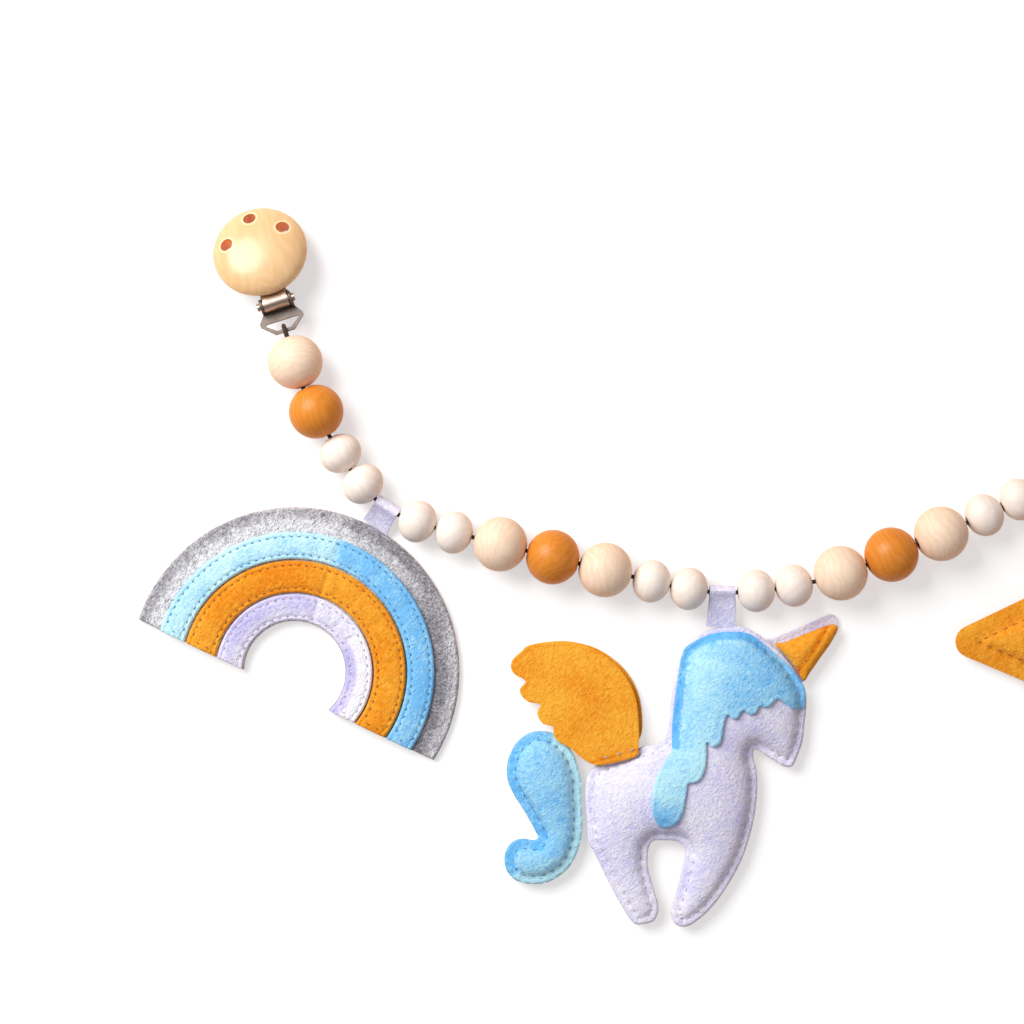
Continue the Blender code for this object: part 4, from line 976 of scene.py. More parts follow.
@dataclass
class ElasticCord:
    """The elastic through the beads, in the stretches between the chain's bends."""

    diameter: float = 1.6 * MM
    sides: int = 14
    pitch: float = 0.5 * MM
    tip_gap: float = 0.2 * MM
    eye_tail: float = 7.5 * MM
    end_mouth: float = 2.64 * MM
    bar_size: tuple[float, float] = (1.2 * MM, 0.9 * MM)
    # The first and the last bead of each stretch.
    groups: tuple = ((1, 2), (3, 6), (7, 9), (10, 13), (14, 16), (17, 20), (21, 22))

    @staticmethod
    def through(joint: dict, half: float) -> list[np.ndarray]:
        """Where the cord enters, crosses and leaves a bead or a tag, from left to right."""
        centre, axis = np.array(joint["pos_m"]), np.array(joint["axis"])
        step = axis * half * math.copysign(1, axis[0])
        return [centre - step, centre, centre + step]

    def tip(self, knot: np.ndarray, bend: int) -> np.ndarray:
        """A stretch's end, a little short of the bend that divides it from the next."""
        place = np.array(JOINTS[f"cord_bend_{bend}"]["pos_m"])
        return place + (knot - place) / np.linalg.norm(knot - place) * self.tip_gap

    def eye(self, side: str) -> np.ndarray:
        """The cord's way round a clip's strap bar and back, from the last bead."""
        bar = np.array(JOINTS[f"{side}_clip_swing"]["pos_m"])
        last = np.array(JOINTS["bead_01_turn" if side == "left" else "bead_22_turn"]["pos_m"])
        out = bar - last
        out[2] = 0
        out /= np.linalg.norm(out)
        loop = math.hypot(*self.bar_size) / 2 + 0.3 * MM + self.diameter / 2
        strand = self.diameter / 2 + 0.15 * MM
        places = [(-self.end_mouth - self.eye_tail, strand), (-self.end_mouth, strand * 1.1)]
        places += [(loop * math.cos(a), loop * math.sin(a)) for a in np.radians(range(130, -131, -26))]
        places += [(-self.end_mouth, -strand * 1.1), (-self.end_mouth - self.eye_tail, -strand)]
        return np.array([bar + out * a + [0, 0, h] for a, h in places])

    def build(self) -> None:
        """Make each stretch as a tube that ends round at its bends."""
        tags = {number: word for word, number in PENDANT_STRETCH.items()}
        for i, (first, last) in enumerate(self.groups, 1):
            knots = []
            for node in BEAD_NODES[first - 1:last]:
                knots += self.through(JOINTS[f"{node[:7]}_turn"], BEADS[node.rsplit("_", 1)[1]][0] / 2)
                if i in tags and node == BEAD_NODES[(first + last) // 2 - 1]:
                    knots += self.through(JOINTS[f"{tags[i]}_swing"], HALF_TAG)
            knots = [self.tip(knots[0], i - 1), *knots] if i > 1 else [*self.eye("left")[::-1], *knots[2:]]
            knots = [*knots, self.tip(knots[-1], i)] if i < len(self.groups) else [*knots[:-2], *self.eye("right")]
            path = smooth_path(np.array(knots), False, self.pitch)
            points, faces, uv = tube(path, self.diameter / 2, self.sides)
            self.round_ends(points, path)
            Bench.piece(f"elastic_{i}_braided", points, faces, Finish.CORD, f"strand_{i}", (f"elastic_{i}",),
                        "elastic", uv=uv, crease=80)
        log.info("elastic cord: %d stretches", len(self.groups))

    def round_ends(self, points: np.ndarray, path: np.ndarray) -> None:
        """Draw the rings near both ends in, so that each end is a hemisphere."""
        length = lengths(path)
        share = held(np.minimum(length, length[-1] - length) / (self.diameter / 2))
        scale = np.maximum(np.sqrt(1 - (1 - share) ** 2), 0.12)
        rings = points.reshape(len(path), self.sides, 3)
        rings[:] = path[:, None] + (rings - path[:, None]) * scale[:, None, None]


@dataclass
class ToggleClip:
    """A toggle clip: a domed wooden disc on a sprung steel lever, in a steel base."""

    side: str
    radius: float = 17.6 * MM
    thickness: float = 9.8 * MM
    rim: float = 4.0 * MM
    disc_at: float = 19.1 * MM
    back: float = 3.0 * MM
    rivet_at: float = 13.8 * MM
    rivet_bore: float = 1.3 * MM
    rivet_reach: float = 5.0 * MM
    pin_at: float = 10.3 * MM
    pin_height: float = 3.55 * MM
    rake: float = math.radians(6)
    around: int = 96

    def lever_frame(self) -> Placing:
        """The lever's frame at its pin, from the clip's two joints: +x runs to the disc and +z through it."""
        swing, pin = JOINTS[f"{self.side}_clip_swing"], np.array(JOINTS[f"{self.side}_disc_open"]["pos_m"])
        across, reach = np.array(swing["axis"]), pin - swing["pos_m"]
        level = np.cross(across, [0, 0, 1.0])
        tilt = math.atan2(reach[2], reach.dot(level)) - math.atan2(self.pin_height, self.pin_at) - self.rake
        x = level * math.cos(tilt) + [0, 0, math.sin(tilt)]
        return Placing(pin, np.array([x, across, np.cross(x, across)]))

    def section(self) -> np.ndarray:
        """The disc's section from the dome's top to the back's middle: half an ellipse, a rim, a flat back."""
        a = np.radians(np.concatenate([np.linspace(4, 80, 20), np.linspace(83, 90, 3)]))
        low = self.rim / 2
        dome = np.column_stack([self.radius * np.sin(a), low + (self.thickness - low) * np.cos(a)])
        b = np.radians(np.linspace(0, 90, 7))[1:]
        edge = np.column_stack([self.radius - low * (1 - np.cos(b)), low * (1 - np.sin(b))])
        flat = np.column_stack([np.linspace(edge[-1, 0], 0.6 * MM, 5)[1:], np.zeros(4)])
        return np.vstack([dome, edge, flat])

    def build(self) -> None:
        """Turn the disc, bore its vents and dress the clip's steel."""
        section = self.section()
        disc = Bench.piece(f"{self.side}_disc_turned", Bench.turned(section, self.around),
                           Bench.tube_faces(len(section), self.around), Finish.DISC, f"{self.side}_lever",
                           (f"{self.side}_clip_disc",), "disc_wood")
        for middle in VENT_MIDDLES:
            self.bore(disc, middle, VENT_RADIUS, self.thickness + self.back)
        self.bore(disc, (self.rivet_at - self.disc_at, 0), self.rivet_bore, self.rivet_reach)
        self.settle(disc, self.lever_frame().moved((self.disc_at, 0, self.back)))
        for node in ("pin", "lever", "rivet"):
            self.dress(f"{self.side}_clip_{node}", Finish.NICKEL)
        self.dress(f"{self.side}_clip_base", Finish.PLATE)
        self.dress(f"{self.side}_clip_grip_pad", Finish.GRIP)
        log.info("%s clip: disc with three vents, steel base, lever, pin, rivet and pad", self.side)

    @staticmethod
    def dress(node: str, finish: Finish) -> None:
        """Give a solid that stays its finish."""
        mesh = frame["nodes"][node].data
        mesh.materials.clear()
        mesh.materials.append(finish.material())

    def bore(self, disc: bpy.types.Object, where: tuple[float, float], radius: float, high: float) -> None:
        """Cut a round hole from below the disc up to a height, in the disc's own frame."""
        low = -self.back
        shape = bmesh.new()
        bmesh.ops.create_cone(shape, cap_ends=True, segments=36, radius1=radius, radius2=radius,
                              depth=high - low)
        bmesh.ops.translate(shape, vec=(*where, (low + high) / 2), verts=shape.verts)
        mesh = bpy.data.meshes.new("bore")
        shape.to_mesh(mesh)
        shape.free()
        cutter = Bench.link("bore", mesh)
        step = disc.modifiers.new("bore", "BOOLEAN")
        step.operation = "DIFFERENCE"
        step.object = cutter
        bpy.context.view_layer.update()
        cut = bpy.data.meshes.new_from_object(disc.evaluated_get(bpy.context.evaluated_depsgraph_get()))
        disc.modifiers.clear()
        disc.data = cut
        bpy.data.objects.remove(cutter)

    @staticmethod
    def settle(disc: bpy.types.Object, place: Placing) -> None:
        """Move the finished mesh to its place, keep its own frame as the grain, and shade it."""
        mesh = disc.data
        local = np.zeros(len(mesh.vertices) * 3)
        mesh.vertices.foreach_get("co", local)
        local = local.reshape(-1, 3)
        Bench.note(mesh, "grain", local)
        mesh.vertices.foreach_set("co", place.out(local).ravel())
        mesh.shade_smooth()
        mesh.set_sharp_from_angle(angle=math.radians(40))
        mesh.update()


# The pendants

FELTS = {"white": Finish.WHITE, "orange": Finish.FELT_ORANGE, "blue": Finish.BLUE}
THREADS = {"white": Finish.WHITE_THREAD, "orange": Finish.ORANGE_THREAD, "blue": Finish.BLUE_THREAD}


@dataclass
class Pendant:
    """A felt pendant that hangs from a swing axis on the cord."""

    word: str
    drop: float
    seam: float
    cord_height: float = 7.9 * MM
    lean: float = 0.0

    def __post_init__(self) -> None:
        """Find the pendant's frame on the table: x along the cord, y up the picture."""
        joint = JOINTS[f"{self.word}_swing"]
        axis = np.array(joint["axis"]) * math.copysign(1, joint["axis"][0])
        heading = math.atan2(axis[1], axis[0])
        origin = np.array(joint["pos_m"]) - [0, 0, self.cord_height]
        self.square = Placing.upright(origin, heading)
        self.table = Placing.upright(origin, heading + self.lean)


@dataclass
class HangingTag:
    """A felt strip folded round the cord, its two ends sewn together and into the pendant."""

    pendant: Pendant
    reach: float
    felt: float = 1.0 * MM
    ring: float = 1.95 * MM
    flare: float = 1.1 * MM
    flare_from: float = 4.5 * MM
    lap: float = 0.56
    neck: float = 3.4 * MM
    pitch: float = 0.45 * MM
    rows: int = 15

    def section(self) -> np.ndarray:
        """The strip's middle line: down the back, round the cord, and down the front to the same end."""
        p = self.pendant
        fall = p.cord_height - p.seam
        slope = math.atan2(-fall, self.reach)
        ply = self.felt * self.lap
        turn = np.radians(np.linspace(108, 252, 15))[::-1]
        ring = np.column_stack([self.ring * np.cos(turn + slope), self.ring * np.sin(turn + slope)])
        ends = [np.array([self.reach, -fall + s * ply]) for s in (-1, 1)]
        along = np.array([math.cos(slope), math.sin(slope)])
        normal = np.array([-along[1], along[0]])
        neck = [along * self.neck + normal * s * ply for s in (-1, 1)]
        path = smooth_path(np.vstack([ends[0], neck[0], ring, neck[1], ends[1]]), False, self.pitch)
        path[:, 1] += p.cord_height
        return path

    def build(self) -> None:
        """Carry the strip's thickness along its middle line and widen it towards the pendant."""
        path = self.section()
        run = unit(np.gradient(path, axis=0))
        normal = np.column_stack([-run[:, 1], run[:, 0]]) * self.felt / 2
        loop = np.vstack([path + normal, (path - normal)[::-1]])
        share = np.linspace(-1, 1, self.rows)
        width = HALF_TAG + self.flare * held((loop[:, 0] - self.flare_from) / self.reach)
        edge = 1 - 0.22 * (np.abs(share) > 0.99)
        middle = np.vstack([path, path[::-1]])
        drawn = middle + (loop - middle) * edge[:, None, None]
        points = np.dstack([share[:, None] * width, -drawn[..., 0], drawn[..., 1]]).reshape(-1, 3)
        p = self.pendant
        made = Bench.piece(f"{p.word}_hanging_tag", p.square.out(points), Bench.tube_faces(self.rows, len(loop)),
                           Finish.WHITE, p.word, (f"{p.word}_tag",), "white_felt", crease=55)
        2 * HALF_TAG + self.flare
        float(lengths(path)[-1])


@dataclass
class Rainbow:
    """A padded grey arch with three felt bands sewn on it."""

    drop: float = 9.0 * MM
    inner: float = 18.9 * MM
    border: float = 8.9 * MM
    foot: float = 7.4 * MM
    low: float = 0.3 * MM
    edge_height: float = 3.0 * MM
    crown_rise: float = 1.6 * MM
    corner: float = 0.8 * MM
    felt: float = 1.3 * MM
    gap: float = 0.3 * MM
    seam: float = 1.7 * MM
    sway: float = math.radians(4.4)
    lean: float = math.radians(4)
    columns: int = 260
    fold_width: float = 1.1 * MM
    folds: tuple = ((1.68, 0.55 * MM), (1.30, 0.26 * MM), (0.98, 0.22 * MM), (0.55, 0.16 * MM),
                    (2.35, 0.18 * MM), (2.75, 0.14 * MM))
    bands: tuple = (("white", 10.4 * MM, Finish.BAND_WHITE, Finish.WHITE_THREAD),
                    ("orange", 12.4 * MM, Finish.FELT_ORANGE, Finish.ORANGE_THREAD),
                    ("blue", 10.6 * MM, Finish.PALE_BLUE, Finish.BLUE_THREAD))

    def __post_init__(self) -> None:
        """Place the arch's centre below the cord."""
        self.outer = self.inner + sum(band[1] for band in self.bands) + self.border
        self.pendant = Pendant("rainbow", self.drop, self.edge_height / 2 + self.low, lean=self.sway)
        self.centre = self.pendant.table.moved((0, -self.drop - self.outer, 0), self.lean)

    def crown(self, r: np.ndarray) -> np.ndarray:
        """Height of the padding: a parabola across the arch."""
        share = (r - self.inner) / (self.outer - self.inner) * 2 - 1
        return self.edge_height + self.crown_rise * np.clip(1 - share * share, 0, None)

    def angles(self, r: np.ndarray, u: np.ndarray) -> np.ndarray:
        """Angle at a share u along the arch, from one straight-cut foot to the other."""
        extra = np.arcsin(self.foot / r)
        return -extra + u * (math.pi + 2 * extra)

    def arch(self, name: str, section: np.ndarray, under: int, relief: float, finish: Finish,
             node: str, slot: str) -> bpy.types.Object:
        """Carry a section round the arch.

        Args:
            name: The piece's name.
            section: Radius and height round the band's section; the last points are its upper face.
            under: How many of the section's points are its lower face.
            relief: Depth of the light radial creases of the upper face.
            finish: Its finish.
            node: The solid that it stands for.
            slot: The record's slot; not used.

        Returns:
            The piece.
        """
        step = np.array([0, 0.15, 0.5, 1.0]) * MM / (math.pi * self.outer / 2)
        u = np.concatenate([step, np.linspace(step[-1], 1 - step[-1], self.columns)[1:-1], 1 - step[::-1]])
        r = np.repeat(section[None, :, 0], len(u), 0)
        z = np.repeat(section[None, :, 1], len(u), 0)
        theta = self.angles(r, u[:, None])
        low = section[:, 1].min()
        upper = np.arange(len(section)) >= under
        creases = np.cos(theta * 29 + np.sin(r / (2.3 * MM)) * 0.8) * np.cos(theta * 7.3 + r / (9 * MM)) \
            * (0.45 + 0.55 * np.sin(theta * 4.1 + 1.3))
        across = (r - section[:, 0].min()) / np.ptp(section[:, 0])
        folds = sum(depth * bell((theta - at) * r, self.fold_width) for at, depth in self.folds)
        z = z + np.where(upper, (relief * creases - folds) * held(np.sin(math.pi * across)) ** 0.5, 0)
        ends = held(np.minimum(u, 1 - u) / step[-1])
        squeeze = np.sqrt(held(1 - (1 - ends) ** 2))[:, None]
        z = low + (z - low) * (0.72 + 0.28 * squeeze)
        points = np.stack([r * np.cos(theta), r * np.sin(theta), z], axis=2).reshape(-1, 3)
        # The upper face's edge attribute carries the painted shade of tone_and_painted_shade.
        return Bench.piece(name, self.centre.out(points), Bench.tube_faces(len(u), len(section)), finish,
                           "rainbow", (node,), slot, crease=60,
                           edge=(self.tone_and_painted_shade(finish, r, theta) * upper).ravel())

    def tone_and_painted_shade(self, finish: Finish, r: np.ndarray, theta: np.ndarray) -> np.ndarray:
        """How deep a felt's colour is: painted shade and light that change at the main fold, and across the border
        and the white band; on the orange an even deeper tone.
        """
        fold = self.folds[0][0]
        right = held((fold - theta) / 0.08 + 0.5)
        foot = held((0.95 - theta) / 0.5 + 0.5)
        # Painted shade on the blue, the border and the white band; the orange's is an even tone.
        if finish is Finish.PALE_BLUE:
            return right * 1.25 - 0.25
        if finish is Finish.GREY:
            rim = np.tanh((r - self.outer + 4.4 * MM) / MM)
            return 0.7 * (right * 1.25 - 0.25) + 0.8 * rim * (1 - 2 * foot)
        if finish is Finish.BAND_WHITE:
            inner = np.tanh((self.inner + 4.4 * MM - r) / MM)
            past = held((fold + 0.03 - theta) / 0.22 + 0.5)
            return (0.3 - 0.4 * inner) * (1 - past) + past * (inner * foot * 1.1 - 0.15)
        return np.full_like(r, 1.6)

    def run(self, r: float, height: float) -> np.ndarray:
        """A line round the arch at one radius, ending short of its feet."""
        trim = 2.6 * MM / (math.pi * r)
        theta = self.angles(r, np.linspace(trim, 1 - trim, 400))
        return self.centre.out(np.column_stack([r * np.cos(theta), r * np.sin(theta), np.full(400, height)]))

    def foot_run(self, r0: float, r1: float, side: int, height: float) -> np.ndarray:
        """A line across one foot of a band; side is 1 for the right foot and -1 for the left."""
        x = side * np.sqrt(np.linspace(r0, r1, 30) ** 2 - self.foot**2)
        return self.centre.out(np.column_stack([x, np.full(30, -self.foot + 1.9 * MM), np.full(30, height)]))

    def build(self) -> None:
        """Make the base and its bands, from the innermost outwards."""
        HangingTag(self.pendant, self.drop * math.cos(self.sway) - 0.35 * MM).build()
        self.base()
        low = self.inner
        for word, width, finish, thread in self.bands:
            self.band(word, low + self.gap, low + width - self.gap, finish, thread)
            low += width
        log.info("rainbow: padded base and three sewn bands")

    def base(self) -> None:
        """Make the padded base: flat below, round at its corners and crowned above."""
        inner, outer, low, corner = self.inner, self.outer, self.low, self.corner
        lower = [(r, low) for r in np.linspace(inner + corner, outer - corner, 12)]
        side = [(outer - corner * 0.3, low + corner * 0.3), (outer, low + corner), (outer, self.edge_height - corner)]
        rows = np.linspace(outer, inner, 60)
        near = np.minimum(outer - rows, rows - inner)
        dip = 0.25 * MM * bell(near - 2.2 * MM, 0.7 * MM)
        upper = np.column_stack([rows, self.crown(rows) - corner * (1 - np.sqrt(held(near / corner))) * 0.8 - dip])
        left = [(inner, self.edge_height - corner), (inner, low + corner), (inner + corner * 0.3, low + corner * 0.3)]
        base = self.arch("rainbow_padded_base", np.vstack([lower, side, upper[1:-1], left]),
                         len(lower) + len(side), 0.12 * MM, Finish.GREY, "rainbow_base", "grey_felt")

    def band(self, word: str, r0: float, r1: float, finish: Finish, thread: Finish) -> None:
        """Lay one felt on the padding and sew it down along its edges and across its feet.

        Args:
            word: The band's word in the names.
            r0: Its inner radius.
            r1: Its outer radius.
            finish: Its felt.
            thread: Its thread.
        """
        rows = np.linspace(r0, r1, 34)
        floor = self.crown(rows) + self.gap
        near = np.minimum(rows - r0, r1 - rows)
        round_off = 0.6 * MM * (1 - np.sqrt(held(near / (0.8 * MM))))
        puff = 0.35 * MM * np.sin(math.pi * held((rows - r0) / (r1 - r0)))
        sewn = 0.28 * MM * bell(near - self.seam, 0.5 * MM)
        upper = np.column_stack([rows, floor + self.felt - round_off + puff - sewn])[::-1]
        band = self.arch(f"rainbow_{word}_felt", np.vstack([np.column_stack([rows, floor]), upper]), len(rows),
                         0.14 * MM, finish, f"rainbow_{word}_band", f"{word}_felt")
        max(r1 - r0, 10.1 * MM)
        math.pi * (r0 + r1) / 2 + 2 * self.foot
        face = self.gap + self.felt
        paths = [self.run(r, self.crown(r) + face - 0.1 * MM) for r in (r0 + self.seam, r1 - self.seam)]
        height = self.crown((r0 + r1) / 2) + face + 0.2 * MM
        paths += [self.foot_run(r0 + 2.4 * MM, r1 - 2.2 * MM, side, height) for side in (-1, 1)]
        Stitches(length=1.4 * MM, gap=1.5 * MM, radius=0.19 * MM).sew(f"rainbow_{word}_stitches", paths, thread,
                                                                      "rainbow", f"{word}_felt")


@dataclass
class Unicorn:
    """A stuffed felt unicorn with a felt mane, two wings, a tail and a horn."""

    height: float = 110.6 * MM
    drop: float = 13.7 * MM
    seam_plane: float = 4.5 * MM
    felt: float = 1.2 * MM
    clearance: float = 0.35 * MM
    sheet_seam: float = 1.6 * MM
    sheet_pitch: float = 1.2 * MM
    back_level: float = 0.8 * MM
    wing_level: float = 7.0 * MM
    wing_root_y: float = 0.468
    wing_droop: float = math.radians(5.2)
    body_outline: tuple = (
        (-134, 104), (-104, 52), (-60, 15), (5, -6), (67, -10), (120, 12), (167, 47), (205, 80), (237, 117),
        (265, 158), (288, 204), (292, 255), (287, 310), (283, 365), (269, 411), (251, 452), (224, 456), (194, 440),
        (167, 424), (142, 408), (122, 400), (118, 425), (128, 460), (134, 508), (133, 560), (128, 615), (118, 670),
        (102, 730), (81, 786), (54, 838), (25, 886), (-7, 930), (-41, 965), (-82, 995), (-115, 999), (-138, 980),
        (-144, 940), (-127, 883), (-110, 806), (-100, 752), (-120, 718), (-170, 712), (-218, 722), (-227, 793),
        (-207, 869), (-187, 935), (-199, 979), (-232, 993), (-268, 992), (-304, 945), (-351, 866), (-398, 773),
        (-426, 722), (-432, 660), (-440, 580), (-438, 515), (-422, 482), (-401, 465), (-365, 449), (-328, 436),
        (-284, 415), (-241, 398), (-200, 388), (-172, 358), (-163, 300), (-161, 237), (-150, 165))
    mane_outline: tuple = (
        (-158, 403), (-156, 318), (-144, 190), (-128, 83), (-97, 49), (-37, 19), (27, 8), (90, 12), (134, 40),
        (177, 74), (219, 108), (254, 147), (283, 190), (285, 232), (279, 258), (254, 260), (227, 249), (202, 229),
        (185, 227), (167, 247), (147, 254), (130, 249), (117, 274), (96, 279), (74, 265), (57, 291), (40, 294),
        (23, 280), (12, 304), (8, 338), (2, 373), (-15, 388), (-32, 386), (-45, 372), (-45, 424), (-50, 467),
        (-67, 501), (-88, 509), (-105, 514), (-109, 545), (-114, 582), (-120, 615), (-141, 652), (-181, 666),
        (-207, 642), (-221, 592), (-217, 539), (-204, 488), (-181, 445))
    wing_outline: tuple = (
        (-267, 401), (-268, 318), (-284, 225), (-334, 142), (-421, 80), (-515, 56), (-585, 59), (-645, 73),
        (-668, 94), (-694, 119), (-700, 146), (-686, 169), (-649, 190), (-668, 217), (-660, 242), (-635, 260),
        (-599, 267), (-608, 292), (-602, 315), (-585, 332), (-555, 340), (-552, 365), (-538, 386), (-492, 412),
        (-455, 443), (-421, 460), (-396, 464), (-335, 451), (-274, 430))
    back_wing_outline: tuple = (
        (-262, 376), (-254, 318), (-270, 225), (-320, 142), (-407, 80), (-501, 56), (-571, 59), (-631, 73),
        (-652, 100), (-678, 125), (-675, 165), (-635, 190), (-652, 225), (-628, 257), (-585, 267), (-591, 308),
        (-571, 332), (-545, 338), (-520, 350), (-480, 394), (-430, 449), (-350, 421), (-300, 402))
    tail_outline: tuple = (
        (-582, 357), (-632, 364), (-675, 398), (-698, 443), (-706, 487), (-700, 530), (-678, 574), (-651, 614),
        (-627, 652), (-607, 688), (-594, 714), (-612, 724), (-637, 720), (-664, 722), (-688, 738), (-704, 767),
        (-706, 797), (-698, 825), (-678, 850), (-650, 864), (-607, 869), (-564, 863), (-522, 840), (-488, 807),
        (-464, 760), (-451, 707), (-448, 662), (-451, 612), (-455, 567), (-456, 522), (-467, 474), (-481, 437),
        (-507, 400), (-542, 370))
    horn_outline: tuple = (
        (182, 46), (211, 41), (241, 29), (271, 16), (300, 4), (328, -8), (354, -18), (378, -24), (391, -16),
        (390, -2), (380, 18), (368, 40), (351, 66), (334, 90), (318, 115), (301, 140), (284, 168), (272, 154),
        (259, 134), (243, 110), (222, 86), (203, 67))
    horn_back_outline: tuple = (
        (150, 50), (200, 22), (250, -1), (300, -25), (361, -54), (380, -55), (392, -45), (397, -25), (393, -6),
        (340, 78), (276, 180), (250, 150))
    horn_line: tuple = ((258, 142), (354, -13))
    wing_fold: tuple = ((-396, 446), (-268, 406))

    def __post_init__(self) -> None:
        """Place the unicorn below the cord."""
        self.pendant = Pendant("unicorn", self.drop, self.seam_plane)

    def outline(self, places: tuple) -> np.ndarray:
        """An outline's points: x from the tag, y down from the top of the head, in thousandths of the height."""
        pairs = np.array(places) / 1000 * self.height
        return np.column_stack([pairs[:, 0], -self.drop - pairs[:, 1]])

    def stuffed(self, colour: str, part: str, places: tuple, seam: float, top: float, under: float,
                nodes: tuple[str, ...] = (), fill: float = 0.6, kind: type = FeltWork, **more: object) -> FeltWork:
        """Make one stuffed form, which stands for the solid of its part or for those that are named.

        Args:
            colour: The colour's word in the names.
            part: The part's word in the names.
            places: Its outline.
            seam: How far inside the edge its seam runs.
            top: The swell of its upper face.
            under: The swell of its lower face.
            nodes: The solids it stands for, where they aren't its part's own.
            fill: How soft it is; not used.
            kind: The felt work it is.
            more: What that kind needs beyond this.

        Returns:
            The form.
        """
        work = kind(f"unicorn_{colour}_{part}", FeltShape(self.outline(places), seam), self.pendant.table,
                    self.seam_plane, self.felt, top, under, **more)
        return work.build(FELTS[colour], "unicorn", nodes or (f"unicorn_{part}",), f"{colour}_felt", fill)

    def build(self) -> None:
        """Make the body first, because the mane and wings lie on it."""
        HangingTag(self.pendant, self.drop - 0.85 * MM).build()
        body = self.stuffed(
            "white", "body", self.body_outline, 3.0 * MM, 7.0 * MM, 2.9 * MM,
            ("unicorn_torso", "unicorn_neck_and_head", "unicorn_front_leg", "unicorn_rear_leg"), fill=0.7)
        tail = self.stuffed("blue", "tail", self.tail_outline, 3.2 * MM, 4.2 * MM, 2.9 * MM, kind=SideShadedFelt)
        horn = self.stuffed("orange", "horn", self.horn_outline, 0.9 * MM, 2.4 * MM, 0.2 * MM, kind=CreasedFelt,
                            line=self.outline(self.horn_line))
        self.sheet("white", "horn_back", self.horn_back_outline, self.behind, "unicorn_white_body")
        self.sheet("orange", "back_wing", self.back_wing_outline, self.behind, "unicorn_white_body")
        self.sheet("blue", "mane", self.mane_outline, lambda xy: self.over(body, xy) + self.clearance,
                   "unicorn_white_body")
        self.sheet("orange", "front_wing", self.wing_outline, lambda xy: self.wing_floor(xy, body, tail),
                   "unicorn_white_body", "unicorn_blue_tail")
        fine = Stitches(length=1.9 * MM, gap=1.9 * MM, radius=0.2 * MM)
        for part, colour, paths in (("body", "white", [body.seam_path(), body.seam_path(upper=False)]),
                                    ("tail", "blue", [tail.seam_path()]),
                                    ("horn", "orange", [self.horn_seam(horn)]),
                                    ("wing", "white", [self.wing_root(body, tail)])):
            fine.sew(f"unicorn_{part}_stitches", paths, THREADS[colour], "unicorn", f"{colour}_felt")
        log.info("unicorn: stuffed body, tail and horn, felt mane and wings")

    def behind(self, xy: np.ndarray) -> np.ndarray:
        """The level floor of the felts that lie behind the body."""
        return np.full(len(xy), self.back_level)

    def horn_seam(self, horn: FeltWork) -> np.ndarray:
        """The horn's one sewn line, inside its lower right edge."""
        line = self.straight(self.horn_line)
        return horn.placing.out(np.column_stack([line, horn.top(line)]))

    def wing_root(self, body: FeltWork, tail: FeltWork) -> np.ndarray:
        """The white stitches that hold the front wing's folded root to the back."""
        line = self.straight(self.wing_fold) + [0, self.clearance]
        height = self.wing_floor(line, body, tail) + self.felt
        return self.pendant.table.out(np.column_stack([line, height]))

    def straight(self, ends: tuple) -> np.ndarray:
        """Points along the straight line between two places."""
        first, last = self.outline(ends)
        return first + (last - first) * np.linspace(0, 1, 60)[:, None]

    def over(self, work: FeltWork, xy: np.ndarray) -> np.ndarray:
        """Height of the form below a point, or of its rim where the point is past its edge."""
        rim = self.seam_plane + self.felt
        return np.maximum(np.where(work.shape.inside(xy), work.top(xy), rim), rim)

    def wing_floor(self, xy: np.ndarray, body: FeltWork, tail: FeltWork) -> np.ndarray:
        """The front wing droops from its root on the flank and rests on what it crosses."""
        root = -self.drop - self.wing_root_y * self.height
        plane = self.wing_level - (xy[:, 1] - root) * math.tan(self.wing_droop)
        below = [np.where(work.shape.inside(xy), work.top(xy), 0) + self.clearance for work in (body, tail)]
        return np.maximum(plane, np.maximum(*below))

    def sheet(self, colour: str, part: str, places: tuple, floor: Callable[[np.ndarray], np.ndarray],
              *rests_on: str) -> None:
        """Cut one felt and lay it over a floor.

        Args:
            colour: The colour's word in the names.
            part: The part's word in the names.
            places: Its outline.
            floor: Gives the height of the felt's lower face at points.
            rests_on: The pieces it lies on; not used.
        """
        shape = FeltShape(self.outline(places), self.sheet_seam)
        xy, faces = shape.mesh(self.sheet_pitch)
        away, _ = shape.distance(xy)
        low = floor(xy)
        round_off = shape.rounding(away) * 0.3 * MM
        top = low + self.felt - round_off - 0.18 * MM * bell(away - shape.seam, 0.45 * MM)
        edge = (1 - held((away - 1.1 * MM) / (0.5 * MM))) * 0.45
        # Painted shade along the front wing's folded root.
        if part == "front_wing":
            first, last = self.outline(self.wing_fold)
            run = (last - first) / np.linalg.norm(last - first)
            edge += 5 * bell((xy - first) @ [run[1], -run[0]], 0.35 * MM)
        if part == "mane":
            edge = self.mane_edge(xy, away)
        points = np.vstack([np.column_stack([xy, top]), np.column_stack([xy, low + round_off * 0.8])])
        made = Bench.piece(f"unicorn_{colour}_{part}", self.pendant.table.out(points),
                           shape.skins(faces, [0, len(xy)]), FELTS[colour], "unicorn", (f"unicorn_{part}",),
                           f"{colour}_felt", crease=60, edge=np.concatenate([edge, edge]))
        width, height = map(float, np.ptp(shape.edge, axis=0))
        float(max(shape.area, 0.301 * width * height))

    def mane_edge(self, xy: np.ndarray, away: np.ndarray) -> np.ndarray:
        """The mane's colour is deep in a strip along the back of the neck, and towards the face and the tip.

        Args:
            xy: The felt's points.
            away: Their distance from its cut edge.

        Returns:
            How deep the colour is at each; the bounds are shares of the unicorn's height.
        """
        x, y = xy[:, 0] / self.height, (-self.drop - xy[:, 1]) / self.height
        strip = 1 - held((away - 2.3 * MM) / (0.35 * MM))
        back = ((x < -0.09) & (y < 0.40)) | ((x < 0.15) & (y < 0.10))
        face = np.maximum(held((x + 0.02) / 0.16), held((y - 0.56) / 0.06))
        return np.maximum(np.where(back, strip * 1.3, -1), face * 1.05 - 0.45)


